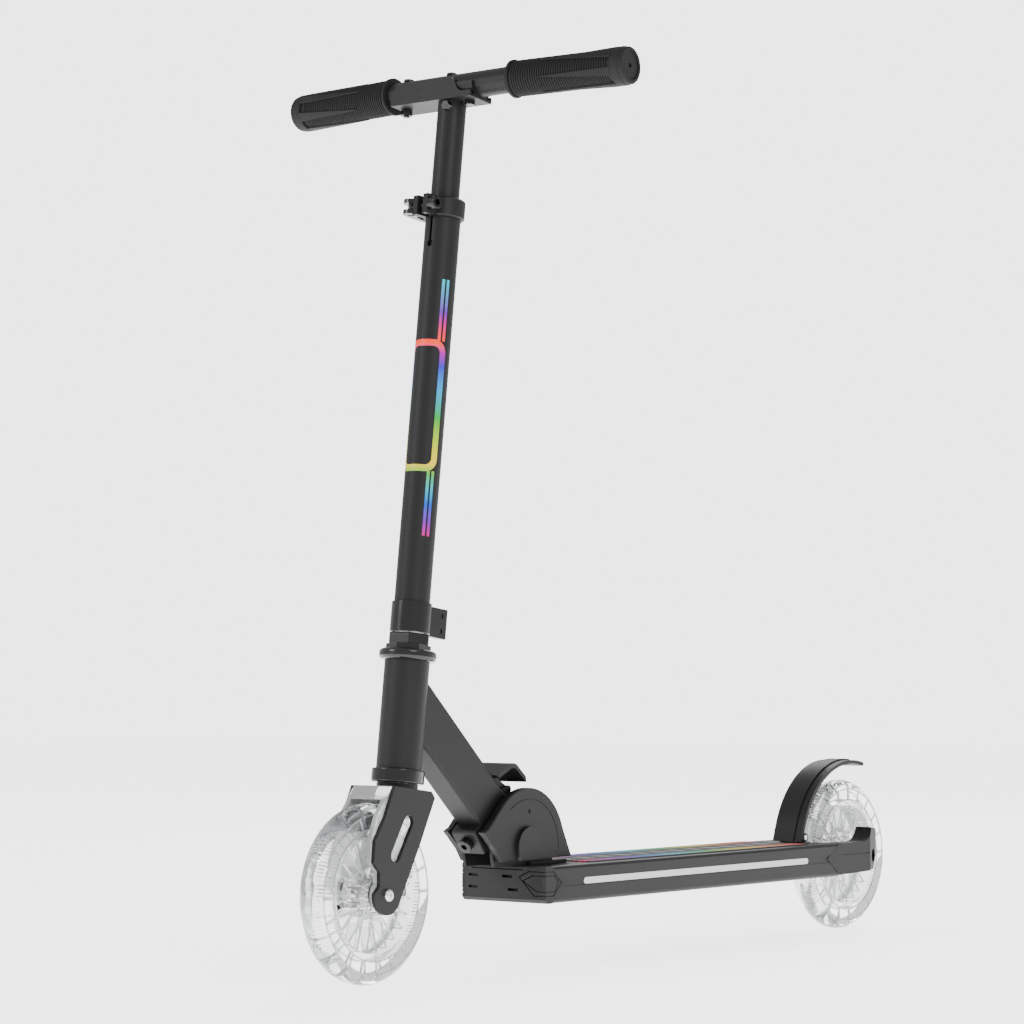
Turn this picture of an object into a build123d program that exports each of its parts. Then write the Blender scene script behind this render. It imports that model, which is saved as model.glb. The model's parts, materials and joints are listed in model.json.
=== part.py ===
"""Folding two-wheeled kick scooter, millimetres.

Frame: +X is forward, +Y is the rider's left, +Z is up. The origin is on the ground, midway
between the two axles and on the scooter's plane of symmetry.
"""

from build123d import *
from math import atan2, cos, degrees, radians, sin, sqrt, tan
import os

os.makedirs("parts", exist_ok=True)

# ---- driving dimensions: wheels --------------------------------------------------------
wheelbase = 710.0
front_x = wheelbase / 2
rear_x = -wheelbase / 2
wheel_r = 72.5
wheel_width = 24.0
tyre_inner_r = 53.0
tyre_shoulder_r = 63.0
core_rim_r = 47.5
core_hub_r = 15.0
core_rim_width = 22.0
spoke_pairs = 12
spoke_thickness = 2.2
spoke_width = 13.0
spoke_lean = 9.0
bearing_r = 11.0
bearing_width = 7.0
axle_r = 3.95
nut_flat = 12.0
nut_height = 5.0
sleeve_r = 6.0
fit_running = 0.05
gap = 0.3

# ---- driving dimensions: deck ----------------------------------------------------------
deck_width = 90.0
deck_bottom = 56.0
deck_height = 31.2
deck_wall = 2.2
deck_web_y = 15.0
deck_front = front_x - 187.0
deck_rear = rear_x + 69.0
deck_corner_r = 3.0
arrow_depth = 21.5
mat_thickness = 1.0
mat_width = deck_width - 14.0
mat_front = deck_front - 64.0
mat_rear = deck_rear + 40.0
strip_height = 5.4
strip_depth = 1.4
channel_depth = 0.6
strip_front = deck_front - 46.0
strip_rear = deck_rear + 55.0
front_cap_length = 8.0
front_cap_bow = 3.0
wheel_slot_half = 16.5
wheel_slot_x = deck_rear + 5.0
cap_inner_y = 26.0
dropout_thickness = 4.0
rear_cap_end = rear_x - 11.0
rear_horn_top = 99.0
rear_bore_r = 6.4

# ---- driving dimensions: folding hinge -------------------------------------------------
pivot_x = front_x - 185.0
pivot_z = 102.0
pivot_bolt_r = axle_r
down_tube_width = 26.0
down_tube_depth = 41.6
down_tube_wall = 2.0
down_tube_slope = 42.6
down_tube_start = 30.0
tongue_r = 11.0
hinge_plate_r = 42.0
hinge_plate_thickness = 3.0
hinge_plate_gap = 0.4
hinge_base_thickness = 3.0
hinge_base_front = pivot_x - 6.0
hinge_base_rear = pivot_x - 58.0
hinge_base_width = down_tube_width + 14.0
cover_r = 50.5
cover_thickness = 6.0
cover_bump = 3.5
cover_bump_r = 17.0
cover_lift = 4.5
lever_sheet = 2.6
lever_stem_width = 18.0
pedal_width = down_tube_width + 6.0
lever_pin_r = 2.0

# ---- driving dimensions: steering ------------------------------------------------------
rake = 7.05
column_r = 14.75
column_wall = 1.5
fork_offset = 28.74
crown_top = 83.3
blade_thickness = 3.5
blade_gap_half = 20.0
blade_slot = 11.4
crown_reach = 17.6
guard_wall = 4.0
guard_wheel_gap = 3.2
cup_bottom_start = 87.8
head_tube_start = 99.1
head_tube_end = 187.8
head_tube_r = column_r + 3.75
race_r = head_tube_r - 1.6
cup_bottom_r = head_tube_r + 3.1
head_tube_wall = 2.5
cup_top_end = 196.9
cup_top_r = head_tube_r + 5.0
adjust_nut_height = 4.0
lock_nut_height = 8.8
lock_nut_flat = 2 * column_r + 2.5
column_start = 211.0
column_end = 573.0
steerer_end = 300.0
steerer_wall = 2.5
band_height = 24.8
band_r = column_r + 1.75
band_tab_reach = column_r + 28.25
band_tab_half = 3.0
band_hole_reach = column_r + 21.25
band_screw_r = 2.0
collar_start = 558.5
collar_end = 574.9
collar_r = column_r + 3.0
collar_turn = -12.0
ear_reach = column_r + 10.75
ear_gap_half = 3.5
ear_thickness = 6.0
clamp_bolt_reach = column_r + 6.25
clamp_bolt_r = 2.45
cross_pin_r = 3.0
lever_cam_r = 6.9
lever_pivot_side = 17.0
key_slot_width = 2.4
key_hole_r = 2.9
key_hole_s = 535.5
bush_start = 552.0
button_s = 543.5
button_r = 3.0
button_proud = 2.4

# ---- driving dimensions: handlebar -----------------------------------------------------
bush_wall = 1.25
riser_r = column_r - column_wall - bush_wall
riser_wall = 1.5
riser_start = 365.0
bar_s = 672.5
bar_r = 11.1
bar_wall = 1.6
bar_half = 174.0
bar_bend_y = 60.0
bar_sweep = 4.0
saddle_thickness = 2.4
saddle_left = 30.0
saddle_right = -56.0
riser_screw_z = -19.0
grip_start_y = 64.0
grip_body_r = 14.0
grip_flange_r = 16.0
grip_flange_length = 3.0
grip_end_length = 8.0
plug_r = 15.4
plug_length = 4.0

# ---- driving dimensions: brake fender --------------------------------------------------
fender_inner_r = 88.5
fender_thickness = 3.5
fender_width = 32.0
fender_base_angle = 20.0
fender_tip_angle = 103.0
fender_pin_r = 2.5
fender_lug_r = 4.2
fender_lug_half = 11.0

# ---- derived places --------------------------------------------------------------------
deck_top = deck_bottom + deck_height
deck_middle = deck_bottom + deck_height / 2 + 1.4
half_deck = deck_width / 2
hub_half = wheel_width / 2

tilt = radians(rake)
steer = Plane(
    origin=(front_x - fork_offset, 0, wheel_r),
    x_dir=(cos(tilt), 0, sin(tilt)),
    z_dir=(-sin(tilt), 0, cos(tilt)),
)
steer_axis = Axis(steer.origin, steer.z_dir)

slope = radians(down_tube_slope)
tube_dir = Vector(cos(slope), 0, sin(slope))
tube_up = Vector(-sin(slope), 0, cos(slope))
pivot = Vector(pivot_x, 0, pivot_z)
tube_plane = Plane(origin=pivot, x_dir=(0, 1, 0), z_dir=tube_dir)


def side_plane(y, x=0.0, z=0.0):
    """A plane whose local axes are X and Z, standing at this y and facing -Y."""
    return Plane(origin=(x, y, z), x_dir=(1, 0, 0), z_dir=(0, -1, 0))


def save(builder, name):
    """Label a finished piece and write it to its own STEP file."""
    builder.part.label = name
    export_step(builder.part, f"parts/{name}.step")


def ring(plane, start, end, outer, inner=0.0):
    """A round sleeve along the plane's normal, or a plain rod when inner is zero."""
    with BuildPart() as made:
        with BuildSketch(plane.offset(start)):
            Circle(outer)
            if inner > 0:
                Circle(inner, mode=Mode.SUBTRACT)
        extrude(amount=end - start)
    return made


def across(x, z, low, high, outer, inner=0.0):
    """A round sleeve that runs along Y, from low to high."""
    plane = Plane(origin=(x, 0, z), x_dir=(1, 0, 0), z_dir=(0, 1, 0))
    return ring(plane, low, high, outer, inner)


def on_tube(along, above):
    """Local (x, z) of a point on the down tube's side view, measured from the pivot."""
    place = pivot + tube_dir * along + tube_up * above
    return (place.X, place.Z)


# ---- wheels ----------------------------------------------------------------------------
def make_wheel(name, x):
    """Clear tyre, spoked core, two bearings and the sleeve that keeps them apart."""
    section = Plane(origin=(x, 0, wheel_r), x_dir=(0, 1, 0), z_dir=(1, 0, 0))
    face = Plane(origin=(x, 0, wheel_r), x_dir=(1, 0, 0), z_dir=(0, 1, 0))
    axle_line = Axis((x, 0, wheel_r), (0, 1, 0))

    with BuildPart() as tyre:
        with BuildSketch(section):
            with BuildLine():
                Polyline(
                    (hub_half, tyre_shoulder_r),
                    (hub_half, tyre_inner_r),
                    (-hub_half, tyre_inner_r),
                    (-hub_half, tyre_shoulder_r),
                )
                ThreePointArc((-hub_half, tyre_shoulder_r), (0, wheel_r), (hub_half, tyre_shoulder_r))
            make_face()
        revolve(axis=axle_line)
    save(tyre, f"{name}_tyre")

    with BuildPart() as core:
        with BuildSketch(face.offset(-core_rim_width / 2)):
            Circle(tyre_inner_r)
            Circle(core_rim_r, mode=Mode.SUBTRACT)
        extrude(amount=core_rim_width)
        with BuildSketch(face.offset(-hub_half)):
            Circle(core_hub_r)
        extrude(amount=wheel_width)
        with BuildSketch(face.offset(-spoke_width / 2)):
            for lean in (-spoke_lean, spoke_lean):
                middle = (core_hub_r + core_rim_r) / 2
                length = core_rim_r - core_hub_r + 4
                with PolarLocations(middle, spoke_pairs, start_angle=lean / 2):
                    Rectangle(length, spoke_thickness, rotation=lean)
        extrude(amount=spoke_width)
        with BuildSketch(face.offset(-hub_half)):
            Circle(bearing_r)
        extrude(amount=wheel_width, mode=Mode.SUBTRACT)
        with BuildSketch(face.offset(bearing_width - hub_half)):
            Circle(bearing_r)
            Circle(bearing_r - 2, mode=Mode.SUBTRACT)
        extrude(amount=wheel_width - 2 * bearing_width)
    save(core, f"{name}_core")

    bore = axle_r + fit_running
    with BuildPart() as bearings:
        for start in (-hub_half, hub_half - bearing_width):
            with BuildSketch(face.offset(start)):
                Circle(bearing_r)
                Circle(bore, mode=Mode.SUBTRACT)
            extrude(amount=bearing_width)
    save(bearings, f"{name}_bearings")

    inner_half = hub_half - bearing_width
    sleeve = across(x, wheel_r, -inner_half, inner_half, sleeve_r, bore)
    save(sleeve, f"{name}_bearing_sleeve")


make_wheel("front", front_x)
make_wheel("rear", rear_x)

# ---- deck extrusion --------------------------------------------------------------------
deck_length = deck_front - deck_rear
with BuildPart() as deck:
    with BuildSketch(Plane(origin=(deck_rear, 0, 0), x_dir=(0, 1, 0), z_dir=(1, 0, 0))):
        with Locations((0, deck_bottom + deck_height / 2)):
            RectangleRounded(deck_width, deck_height, deck_corner_r)
        cell_height = deck_height - 2 * deck_wall
        outer_cell = half_deck - 1.5 * deck_wall - strip_depth - deck_web_y
        middle_z = deck_bottom + deck_height / 2
        with Locations((0, middle_z)):
            Rectangle(2 * deck_web_y - deck_wall, cell_height, mode=Mode.SUBTRACT)
        for side in (-1, 1):
            with Locations((side * (deck_web_y + deck_wall / 2 + outer_cell / 2), middle_z)):
                Rectangle(outer_cell, cell_height, mode=Mode.SUBTRACT)
    extrude(amount=deck_length)
    # arrow-shaped notches that the front and rear caps point into
    with BuildSketch(Plane.XZ):
        with BuildLine():
            Polyline(
                (deck_front, deck_top),
                (deck_front - arrow_depth, deck_middle),
                (deck_front, deck_bottom),
                (deck_front + 1, deck_bottom),
                (deck_front + 1, deck_top),
                close=True,
            )
        make_face()
        with BuildLine():
            Polyline(
                (deck_rear, deck_top),
                (deck_rear + arrow_depth, deck_middle),
                (deck_rear, deck_bottom),
                (deck_rear - 1, deck_bottom),
                (deck_rear - 1, deck_top),
                close=True,
            )
        make_face()
    extrude(amount=half_deck + 1, both=True, mode=Mode.SUBTRACT)
    # slot for the rear wheel
    slot_length = wheel_slot_x - deck_rear + 1
    with BuildSketch(Plane.XY):
        with Locations((wheel_slot_x - slot_length / 2, 0)):
            Rectangle(slot_length, 2 * wheel_slot_half)
    extrude(amount=deck_top + 1, mode=Mode.SUBTRACT)
    # shallow channel along each side
    for side in (-1, 1):
        with BuildSketch(side_plane(side * half_deck)):
            with Locations(((deck_front + deck_rear) / 2, deck_middle)):
                Rectangle(deck_length + 2, strip_height + 1.6)
        extrude(amount=channel_depth, both=True, mode=Mode.SUBTRACT)
    # groove along each side for the bright strip
    strip_length = strip_front - strip_rear
    strip_centre_x = (strip_front + strip_rear) / 2
    for side in (-1, 1):
        with BuildSketch(side_plane(side * half_deck)):
            with Locations((strip_centre_x, deck_middle)):
                SlotOverall(strip_length, strip_height)
        extrude(amount=strip_depth, both=True, mode=Mode.SUBTRACT)
save(deck, "deck_extrusion")

with BuildPart() as strips:
    for side in (-1, 1):
        strip_y = half_deck - (strip_depth + channel_depth - 0.3) / 2
        with BuildSketch(side_plane(side * strip_y)):
            with Locations((strip_centre_x, deck_middle)):
                SlotOverall(strip_length, strip_height)
        extrude(amount=(strip_depth - channel_depth + 0.3) / 2, both=True)
save(strips, "side_strips")

with BuildPart() as mat:
    with BuildSketch(Plane.XY.offset(deck_top)):
        with Locations(((mat_front + mat_rear) / 2, 0)):
            RectangleRounded(mat_front - mat_rear, mat_width, 6)
    extrude(amount=mat_thickness)
save(mat, "deck_grip_mat")

# ---- front cap: a moulded nose that points back into the deck's notch -------------------
with BuildPart() as front_cap:
    with BuildSketch(Plane.XZ):
        with BuildLine():
            Polyline(
                (deck_front, deck_top),
                (deck_front + front_cap_length, deck_top),
                (deck_front + front_cap_length, deck_bottom + 3),
                (deck_front + front_cap_length - 3, deck_bottom),
                (deck_front, deck_bottom),
                (deck_front - arrow_depth, deck_middle),
                close=True,
            )
        make_face()
    extrude(amount=half_deck, both=True)
    # the nose is bowed forward across the width
    bow_face = deck_front + front_cap_length
    with BuildSketch(Plane.XY.offset(deck_bottom + 4)):
        with BuildLine():
            ThreePointArc((bow_face, -half_deck + 4), (bow_face + front_cap_bow, 0), (bow_face, half_deck - 4))
            Line((bow_face, half_deck - 4), (bow_face, -half_deck + 4))
        make_face()
    extrude(amount=deck_height - 5)
    # slots sunk into the nose
    with BuildSketch(Plane(origin=(bow_face + front_cap_bow + 1, 0, deck_middle), x_dir=(0, 1, 0), z_dir=(1, 0, 0))):
        for place in ((-32, 5), (-32, -5), (6, 5), (12, -6)):
            with Locations(place):
                SlotOverall(11, 2.4)
    extrude(amount=-(front_cap_bow + 2.6), mode=Mode.SUBTRACT)
    # nested arrow panels on the nose and the side wings
    nose_face = Plane(origin=(bow_face + front_cap_bow, 0, deck_middle), x_dir=(0, 1, 0), z_dir=(1, 0, 0))
    for side in (-1, 1):
        for shrink in (0.0, 3.4):
            with BuildSketch(side_plane(side * half_deck)):
                with BuildLine():
                    Polyline(
                        (bow_face + 9, deck_middle + 10 - shrink),
                        (deck_front - 3 - shrink / 2, deck_middle + 10 - shrink),
                        (deck_front - arrow_depth + 7 + 1.4 * shrink, deck_middle),
                        (deck_front - 3 - shrink / 2, deck_middle - 11 + shrink),
                        (bow_face + 9, deck_middle - 11 + shrink),
                        close=True,
                    )
                make_face()
                offset(amount=-0.8, kind=Kind.INTERSECTION, mode=Mode.SUBTRACT)
            extrude(amount=0.8, both=True, mode=Mode.SUBTRACT)
    # the left-hand panel runs on round the corner and slants away on the nose
    for shrink in (0.0, 3.4):
        with BuildSketch(nose_face):
            with BuildLine():
                Polyline(
                    (half_deck + 4, 10 - shrink),
                    (half_deck - 17 + shrink, 10 - shrink),
                    (half_deck - 27 + shrink, 5 - shrink),
                    (half_deck - 12 + shrink, shrink - 11),
                    (half_deck + 4, shrink - 11),
                    close=True,
                )
            make_face()
            offset(amount=-0.8, kind=Kind.INTERSECTION, mode=Mode.SUBTRACT)
        extrude(amount=-(front_cap_bow + 1.2), mode=Mode.SUBTRACT)
    with BuildSketch(nose_face):
        with Locations((-6, deck_height / 2 - 4.6)):
            Rectangle(2 * half_deck - 34, 0.9)
    extrude(amount=-(front_cap_bow + 1.0), mode=Mode.SUBTRACT)
save(front_cap, "deck_front_cap")

# ---- rear caps and dropouts ------------------------------------------------------------
rear_top = deck_top - 0.4


def rear_outline():
    """Side outline of a rear cap: arrow nose, straight arm and raised horn."""
    Polyline(
        (deck_rear, rear_top),
        (deck_rear + arrow_depth, deck_middle),
        (deck_rear - 1, deck_bottom + 1),
        (rear_x + 14, deck_bottom + 2.5),
        (rear_x - 1, deck_bottom + 4.0),
        (rear_cap_end, wheel_r),
        (rear_cap_end - 0.8, rear_horn_top - 1.2),
        (rear_x + 8, rear_horn_top + 1.2),
    )
    ThreePointArc((rear_x + 8, rear_horn_top + 1.2), (rear_x + 14, rear_top + 4.5), (rear_x + 25, rear_top))
    Line((rear_x + 25, rear_top), (deck_rear, rear_top))


for side, name in ((1, "left"), (-1, "right")):
    low = min(side * cap_inner_y, side * half_deck)
    with BuildPart() as rear_cap:
        with BuildSketch(side_plane(low)):
            with BuildLine():
                rear_outline()
            make_face()
            with Locations((rear_x, wheel_r)):
                Circle(rear_bore_r, mode=Mode.SUBTRACT)
        extrude(amount=-(half_deck - cap_inner_y))
        with BuildSketch(side_plane(side * cap_inner_y)):
            with Locations((rear_x, wheel_r)):
                Circle(nut_flat * 0.62)
        extrude(amount=-side * (nut_height + 1.5), mode=Mode.SUBTRACT)
        # the outer rear corner is cut back to a slanting face round the axle
        with BuildSketch(Plane.XY.offset(deck_bottom - 1)):
            with BuildLine():
                Polyline(
                    (rear_x + 13, side * (half_deck + 0.1)),
                    (rear_cap_end - 3, side * (half_deck + 0.1)),
                    (rear_cap_end - 3, side * (half_deck - 9.5)),
                    close=True,
                )
            make_face()
        extrude(amount=rear_horn_top - deck_bottom + 5, mode=Mode.SUBTRACT)
        # crease along the arm
        with BuildSketch(Plane(origin=(0, side * half_deck, deck_middle + 3), x_dir=(1, 0, 0), z_dir=(0, -1, 0))):
            with Locations(((deck_rear + rear_x) / 2 + 4, 0)):
                Rectangle(wheelbase / 2 + deck_rear - 20, 0.9)
        extrude(amount=0.6, both=True, mode=Mode.SUBTRACT)
    save(rear_cap, f"rear_cap_{name}")

dropout_y = cap_inner_y - dropout_thickness
with BuildPart() as dropouts:
    for side in (-1, 1):
        with BuildSketch(side_plane(side * (dropout_y + dropout_thickness / 2))):
            with Locations((rear_x, wheel_r)):
                Circle(9.0)
            with BuildLine():
                Polyline(
                    (rear_x, wheel_r + 9),
                    (deck_rear + 46, wheel_r + 9),
                    (deck_rear + 46, wheel_r - 9),
                    (rear_x, wheel_r - 9),
                    close=True,
                )
            make_face()
            with Locations((rear_x, wheel_r)):
                Circle(axle_r, mode=Mode.SUBTRACT)
        extrude(amount=dropout_thickness / 2, both=True)
save(dropouts, "rear_dropouts")


def axle_bolt(name, x, outer_y, head_r, head_height, thread):
    """A plain axle with a domed socket head on the left and a thread on the right."""
    shank = Plane(origin=(x, 0, wheel_r), x_dir=(1, 0, 0), z_dir=(0, 1, 0))
    with BuildPart() as bolt:
        with BuildSketch(shank.offset(-outer_y - thread)):
            Circle(axle_r)
        extrude(amount=2 * outer_y + thread)
        with BuildSketch(shank.offset(outer_y)):
            Circle(head_r)
        extrude(amount=head_height)
        fillet(bolt.edges().filter_by(GeomType.CIRCLE).sort_by(Axis.Y)[-1], head_height * 0.6)
        with BuildSketch(shank.offset(outer_y + head_height)):
            RegularPolygon(head_r * 0.45, 6)
        extrude(amount=-head_height * 0.7, mode=Mode.SUBTRACT)
    save(bolt, name)


def axle_nut(name, x, outer_y, flat, height):
    """The hexagon nut on the right-hand end of an axle."""
    shank = Plane(origin=(x, 0, wheel_r), x_dir=(1, 0, 0), z_dir=(0, 1, 0))
    with BuildPart() as nut:
        with BuildSketch(shank.offset(-outer_y - height)):
            RegularPolygon(flat / 2, 6, major_radius=False)
            Circle(axle_r, mode=Mode.SUBTRACT)
        extrude(amount=height)
    save(nut, name)


def axle_spacers(name, x, inner_y):
    """The two short sleeves that hold a wheel's bearings clear of its fork."""
    plane = Plane(origin=(x, 0, wheel_r), x_dir=(1, 0, 0), z_dir=(0, 1, 0))
    with BuildPart() as spacers:
        for start in (hub_half + gap, -inner_y):
            with BuildSketch(plane.offset(start)):
                Circle(sleeve_r)
                Circle(axle_r, mode=Mode.SUBTRACT)
            extrude(amount=inner_y - hub_half - gap)
    save(spacers, name)


axle_bolt("rear_axle_bolt", rear_x, cap_inner_y, 5.6, 5.0, 9.0)
axle_spacers("rear_axle_spacers", rear_x, dropout_y)

# ---- brake fender ----------------------------------------------------------------------
fender_outer_r = fender_inner_r + fender_thickness
base = radians(fender_base_angle)
tip = radians(fender_tip_angle)
middle_angle = (base + tip) / 2
fender_foot = 1.3


def round_rear(radius, angle):
    """A point at this radius and angle about the rear axle, in side view."""
    return (rear_x + radius * cos(angle), wheel_r + radius * sin(angle))


def foot_point(radius):
    """Where the sheet's tangent at the base angle comes down to just above the deck."""
    x0, z0 = round_rear(radius, base)
    drop = (z0 - deck_top - fender_foot) / cos(base)
    return (x0 + drop * sin(base), deck_top + fender_foot)


pin_inset = fender_lug_r + gap + 0.2
pin_rise = 5.0
foot_x = foot_point(fender_inner_r)[0]
fender_pin_x = foot_x - pin_rise * tan(base) - pin_inset / cos(base) + fender_foot * tan(base)
fender_pin_z = deck_top + pin_rise

with BuildPart() as fender:
    with BuildSketch(Plane.XZ):
        with BuildLine():
            inner_arc = ThreePointArc(
                round_rear(fender_inner_r, tip),
                round_rear(fender_inner_r, middle_angle),
                round_rear(fender_inner_r, base),
            )
            Line(inner_arc @ 1, foot_point(fender_inner_r))
            Line(foot_point(fender_inner_r), foot_point(fender_outer_r))
            outer_arc = ThreePointArc(
                round_rear(fender_outer_r, base),
                round_rear(fender_outer_r, middle_angle),
                round_rear(fender_outer_r, tip),
            )
            Line(foot_point(fender_outer_r), outer_arc @ 0)
            ThreePointArc(
                outer_arc @ 1,
                round_rear(fender_inner_r + fender_thickness / 2, tip + 0.03),
                inner_arc @ 0,
            )
        make_face()
    extrude(amount=fender_width / 2, both=True)
    # raised band along the middle of the sheet, from the foot nearly to the tip
    band_low = fender_outer_r - 0.5
    band_high = fender_outer_r + 1.2
    with BuildSketch(Plane.XZ):
        with BuildLine():
            under = ThreePointArc(
                round_rear(band_low, tip - 0.1), round_rear(band_low, middle_angle), round_rear(band_low, base)
            )
            Polyline(under @ 1, foot_point(band_low), foot_point(band_high), round_rear(band_high, base))
            over = ThreePointArc(
                round_rear(band_high, base), round_rear(band_high, middle_angle), round_rear(band_high, tip - 0.13)
            )
            Line(over @ 1, under @ 0)
        make_face()
    extrude(amount=fender_width / 4, both=True)
    # knuckles beside the lugs, tied to the sheet by short webs
    knuckle_low = fender_lug_half + gap
    knuckle_width = fender_width / 2 - knuckle_low - 0.5
    for side in (-1, 1):
        with BuildSketch(side_plane(side * (knuckle_low + knuckle_width / 2))):
            with Locations((fender_pin_x, fender_pin_z)):
                Circle(fender_lug_r)
            with BuildLine():
                Polyline(
                    (fender_pin_x, fender_pin_z + fender_lug_r),
                    (fender_pin_x + pin_inset + 1, fender_pin_z + fender_lug_r),
                    (fender_pin_x + pin_inset + 1, fender_pin_z - 1),
                    (fender_pin_x, fender_pin_z - 1),
                    close=True,
                )
            make_face()
        extrude(amount=knuckle_width / 2, both=True)
    with BuildSketch(side_plane(0)):
        with Locations((fender_pin_x, fender_pin_z)):
            Circle(fender_pin_r + fit_running)
    extrude(amount=fender_width, both=True, mode=Mode.SUBTRACT)
save(fender, "brake_fender")

lug_thickness = 3.0
lug_inner = fender_lug_half - lug_thickness
with BuildPart() as fender_lugs:
    for side in (-1, 1):
        with BuildSketch(side_plane(side * (lug_inner + lug_thickness / 2))):
            with Locations((fender_pin_x, fender_pin_z)):
                Circle(fender_lug_r)
            with Locations((fender_pin_x, (fender_pin_z + deck_top) / 2)):
                Rectangle(2 * fender_lug_r, fender_pin_z - deck_top)
            with Locations((fender_pin_x, fender_pin_z)):
                Circle(fender_pin_r, mode=Mode.SUBTRACT)
        extrude(amount=lug_thickness / 2, both=True)
    with BuildSketch(Plane.XY.offset(deck_top)):
        with Locations((fender_pin_x, 0)):
            Rectangle(2 * fender_lug_r, 2 * fender_lug_half)
    extrude(amount=0.6)
save(fender_lugs, "fender_lugs")
save(across(fender_pin_x, fender_pin_z, 0.4 - fender_width / 2, fender_width / 2 - 0.4, fender_pin_r), "fender_pin")

spring_wire = 0.6
with BuildPart() as spring:
    coil_r = fender_pin_r + fit_running + spring_wire + 0.1
    turns = 9
    pitch = (2 * lug_inner - 3) / turns
    for turn in range(turns):
        y = -lug_inner + 1.5 + pitch * (turn + 0.5)
        with BuildSketch(Plane(origin=(fender_pin_x, y, fender_pin_z), x_dir=(0, 1, 0), z_dir=(1, 0, 0))):
            with Locations((0, coil_r)):
                Circle(spring_wire)
        revolve(axis=Axis((fender_pin_x, y, fender_pin_z), (0, 1, 0)))
save(spring, "fender_spring")

# ---- folding hinge on the deck ---------------------------------------------------------
plate_inner = down_tube_width / 2 + hinge_plate_gap
plate_outer = plate_inner + hinge_plate_thickness
cover_inner = plate_outer + 0.1
cover_outer = cover_inner + cover_thickness

with BuildPart() as hinge_bracket:
    with BuildSketch(Plane.XY.offset(deck_top)):
        with Locations(((hinge_base_front + hinge_base_rear) / 2, 0)):
            RectangleRounded(hinge_base_front - hinge_base_rear, hinge_base_width, 3)
    extrude(amount=hinge_base_thickness)
    for side in (-1, 1):
        with BuildSketch(side_plane(side * (plate_inner + hinge_plate_thickness / 2))):
            with Locations((pivot_x, pivot_z)):
                Circle(hinge_plate_r)
            with Locations((pivot_x, deck_top - hinge_plate_r)):
                Rectangle(4 * hinge_plate_r, 2 * hinge_plate_r, mode=Mode.SUBTRACT)
            with Locations((pivot_x, pivot_z)):
                Circle(pivot_bolt_r, mode=Mode.SUBTRACT)
        extrude(amount=hinge_plate_thickness / 2, both=True)
    # cross bar under the nose that the down tube's block comes to rest above
    with BuildSketch(Plane.XY.offset(deck_top)):
        with Locations((hinge_base_front + 6, 0)):
            Rectangle(12.5, 2 * plate_outer)
    extrude(amount=hinge_base_thickness - 0.6)
save(hinge_bracket, "hinge_bracket")

cover_bottom = deck_top + cover_lift
nose_x = pivot_x + 61.0
nose_z = pivot_z + 15.0
arc_start = radians(50.0)
arc_end = radians(161.0)


def cover_outline():
    """Round top, sloping nose and a straight tail, all about the pivot."""
    start = (pivot_x + cover_r * cos(arc_start), pivot_z + cover_r * sin(arc_start))
    finish = (pivot_x + cover_r * cos(arc_end), pivot_z + cover_r * sin(arc_end))
    top = (pivot_x + cover_r * cos(radians(105)), pivot_z + cover_r * sin(radians(105)))
    ThreePointArc(start, top, finish)
    Polyline(
        finish,
        (pivot_x - 60.5, cover_bottom + 1),
        (pivot_x + 37, cover_bottom),
        (pivot_x + 44, cover_bottom + 10),
        (nose_x - 5, pivot_z + 11),
        (nose_x, nose_z),
        (nose_x - 7, nose_z + 3),
        start,
    )


cover_screw_rise = 30.6
for side, name in ((1, "left"), (-1, "right")):
    with BuildPart() as cover:
        with BuildSketch(side_plane(side * (cover_inner + cover_thickness / 2))):
            with BuildLine():
                cover_outline()
            make_face()
        extrude(amount=cover_thickness / 2, both=True)
        outer_face = cover.faces().sort_by(Axis.Y)[-1 if side > 0 else 0]
        chamfer(outer_face.edges(), 0.9)
        # rounded hub with a tail that runs down towards the deck
        with BuildSketch(side_plane(side * cover_outer)):
            with Locations((pivot_x + 1, pivot_z + 1)):
                Circle(cover_bump_r)
            with BuildLine():
                Polyline(
                    (pivot_x + 6, pivot_z + cover_bump_r),
                    (pivot_x - 38, cover_bottom + 1),
                    (pivot_x + 4, cover_bottom + 1),
                    (pivot_x + 12, pivot_z - 8),
                    close=True,
                )
            make_face()
            with Locations((pivot_x, cover_bottom - 20)):
                Rectangle(200, 41, mode=Mode.SUBTRACT)
        extrude(amount=-side * cover_bump)
        # fine engraved line inside the rim
        with BuildSketch(side_plane(side * cover_outer)):
            with Locations((pivot_x, pivot_z)):
                Circle(cover_r - 9)
                Circle(cover_r - 9.7, mode=Mode.SUBTRACT)
            with Locations((pivot_x, pivot_z - cover_r)):
                Rectangle(3 * cover_r, 2 * cover_r - 4, mode=Mode.SUBTRACT)
            with Locations((pivot_x + cover_r, pivot_z)):
                Rectangle(2 * cover_r - 50, 3 * cover_r, mode=Mode.SUBTRACT)
        extrude(amount=0.5, both=True, mode=Mode.SUBTRACT)
        with BuildSketch(side_plane(side * cover_outer)):
            with Locations((pivot_x, pivot_z + cover_screw_rise)):
                Circle(2.2)
        extrude(amount=side * 3, mode=Mode.SUBTRACT)
        # room for the pivot bolt's head and nut behind the hub
        with BuildSketch(side_plane(side * cover_inner)):
            with Locations((pivot_x, pivot_z)):
                Circle(9.0)
        extrude(amount=-side * 6.0, mode=Mode.SUBTRACT)
    save(cover, f"hinge_cover_{name}")

with BuildPart() as cover_screws:
    for side in (-1, 1):
        with BuildSketch(side_plane(side * (cover_outer - 3))):
            with Locations((pivot_x, pivot_z + cover_screw_rise)):
                Circle(2.1)
        extrude(amount=-side * 2.4)
        with BuildSketch(side_plane(side * (cover_outer - 0.6))):
            with Locations((pivot_x, pivot_z + cover_screw_rise)):
                Rectangle(2.6, 0.6)
                Rectangle(0.6, 2.6)
        extrude(amount=side * 0.9, mode=Mode.SUBTRACT)
save(cover_screws, "hinge_cover_screws")

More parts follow.
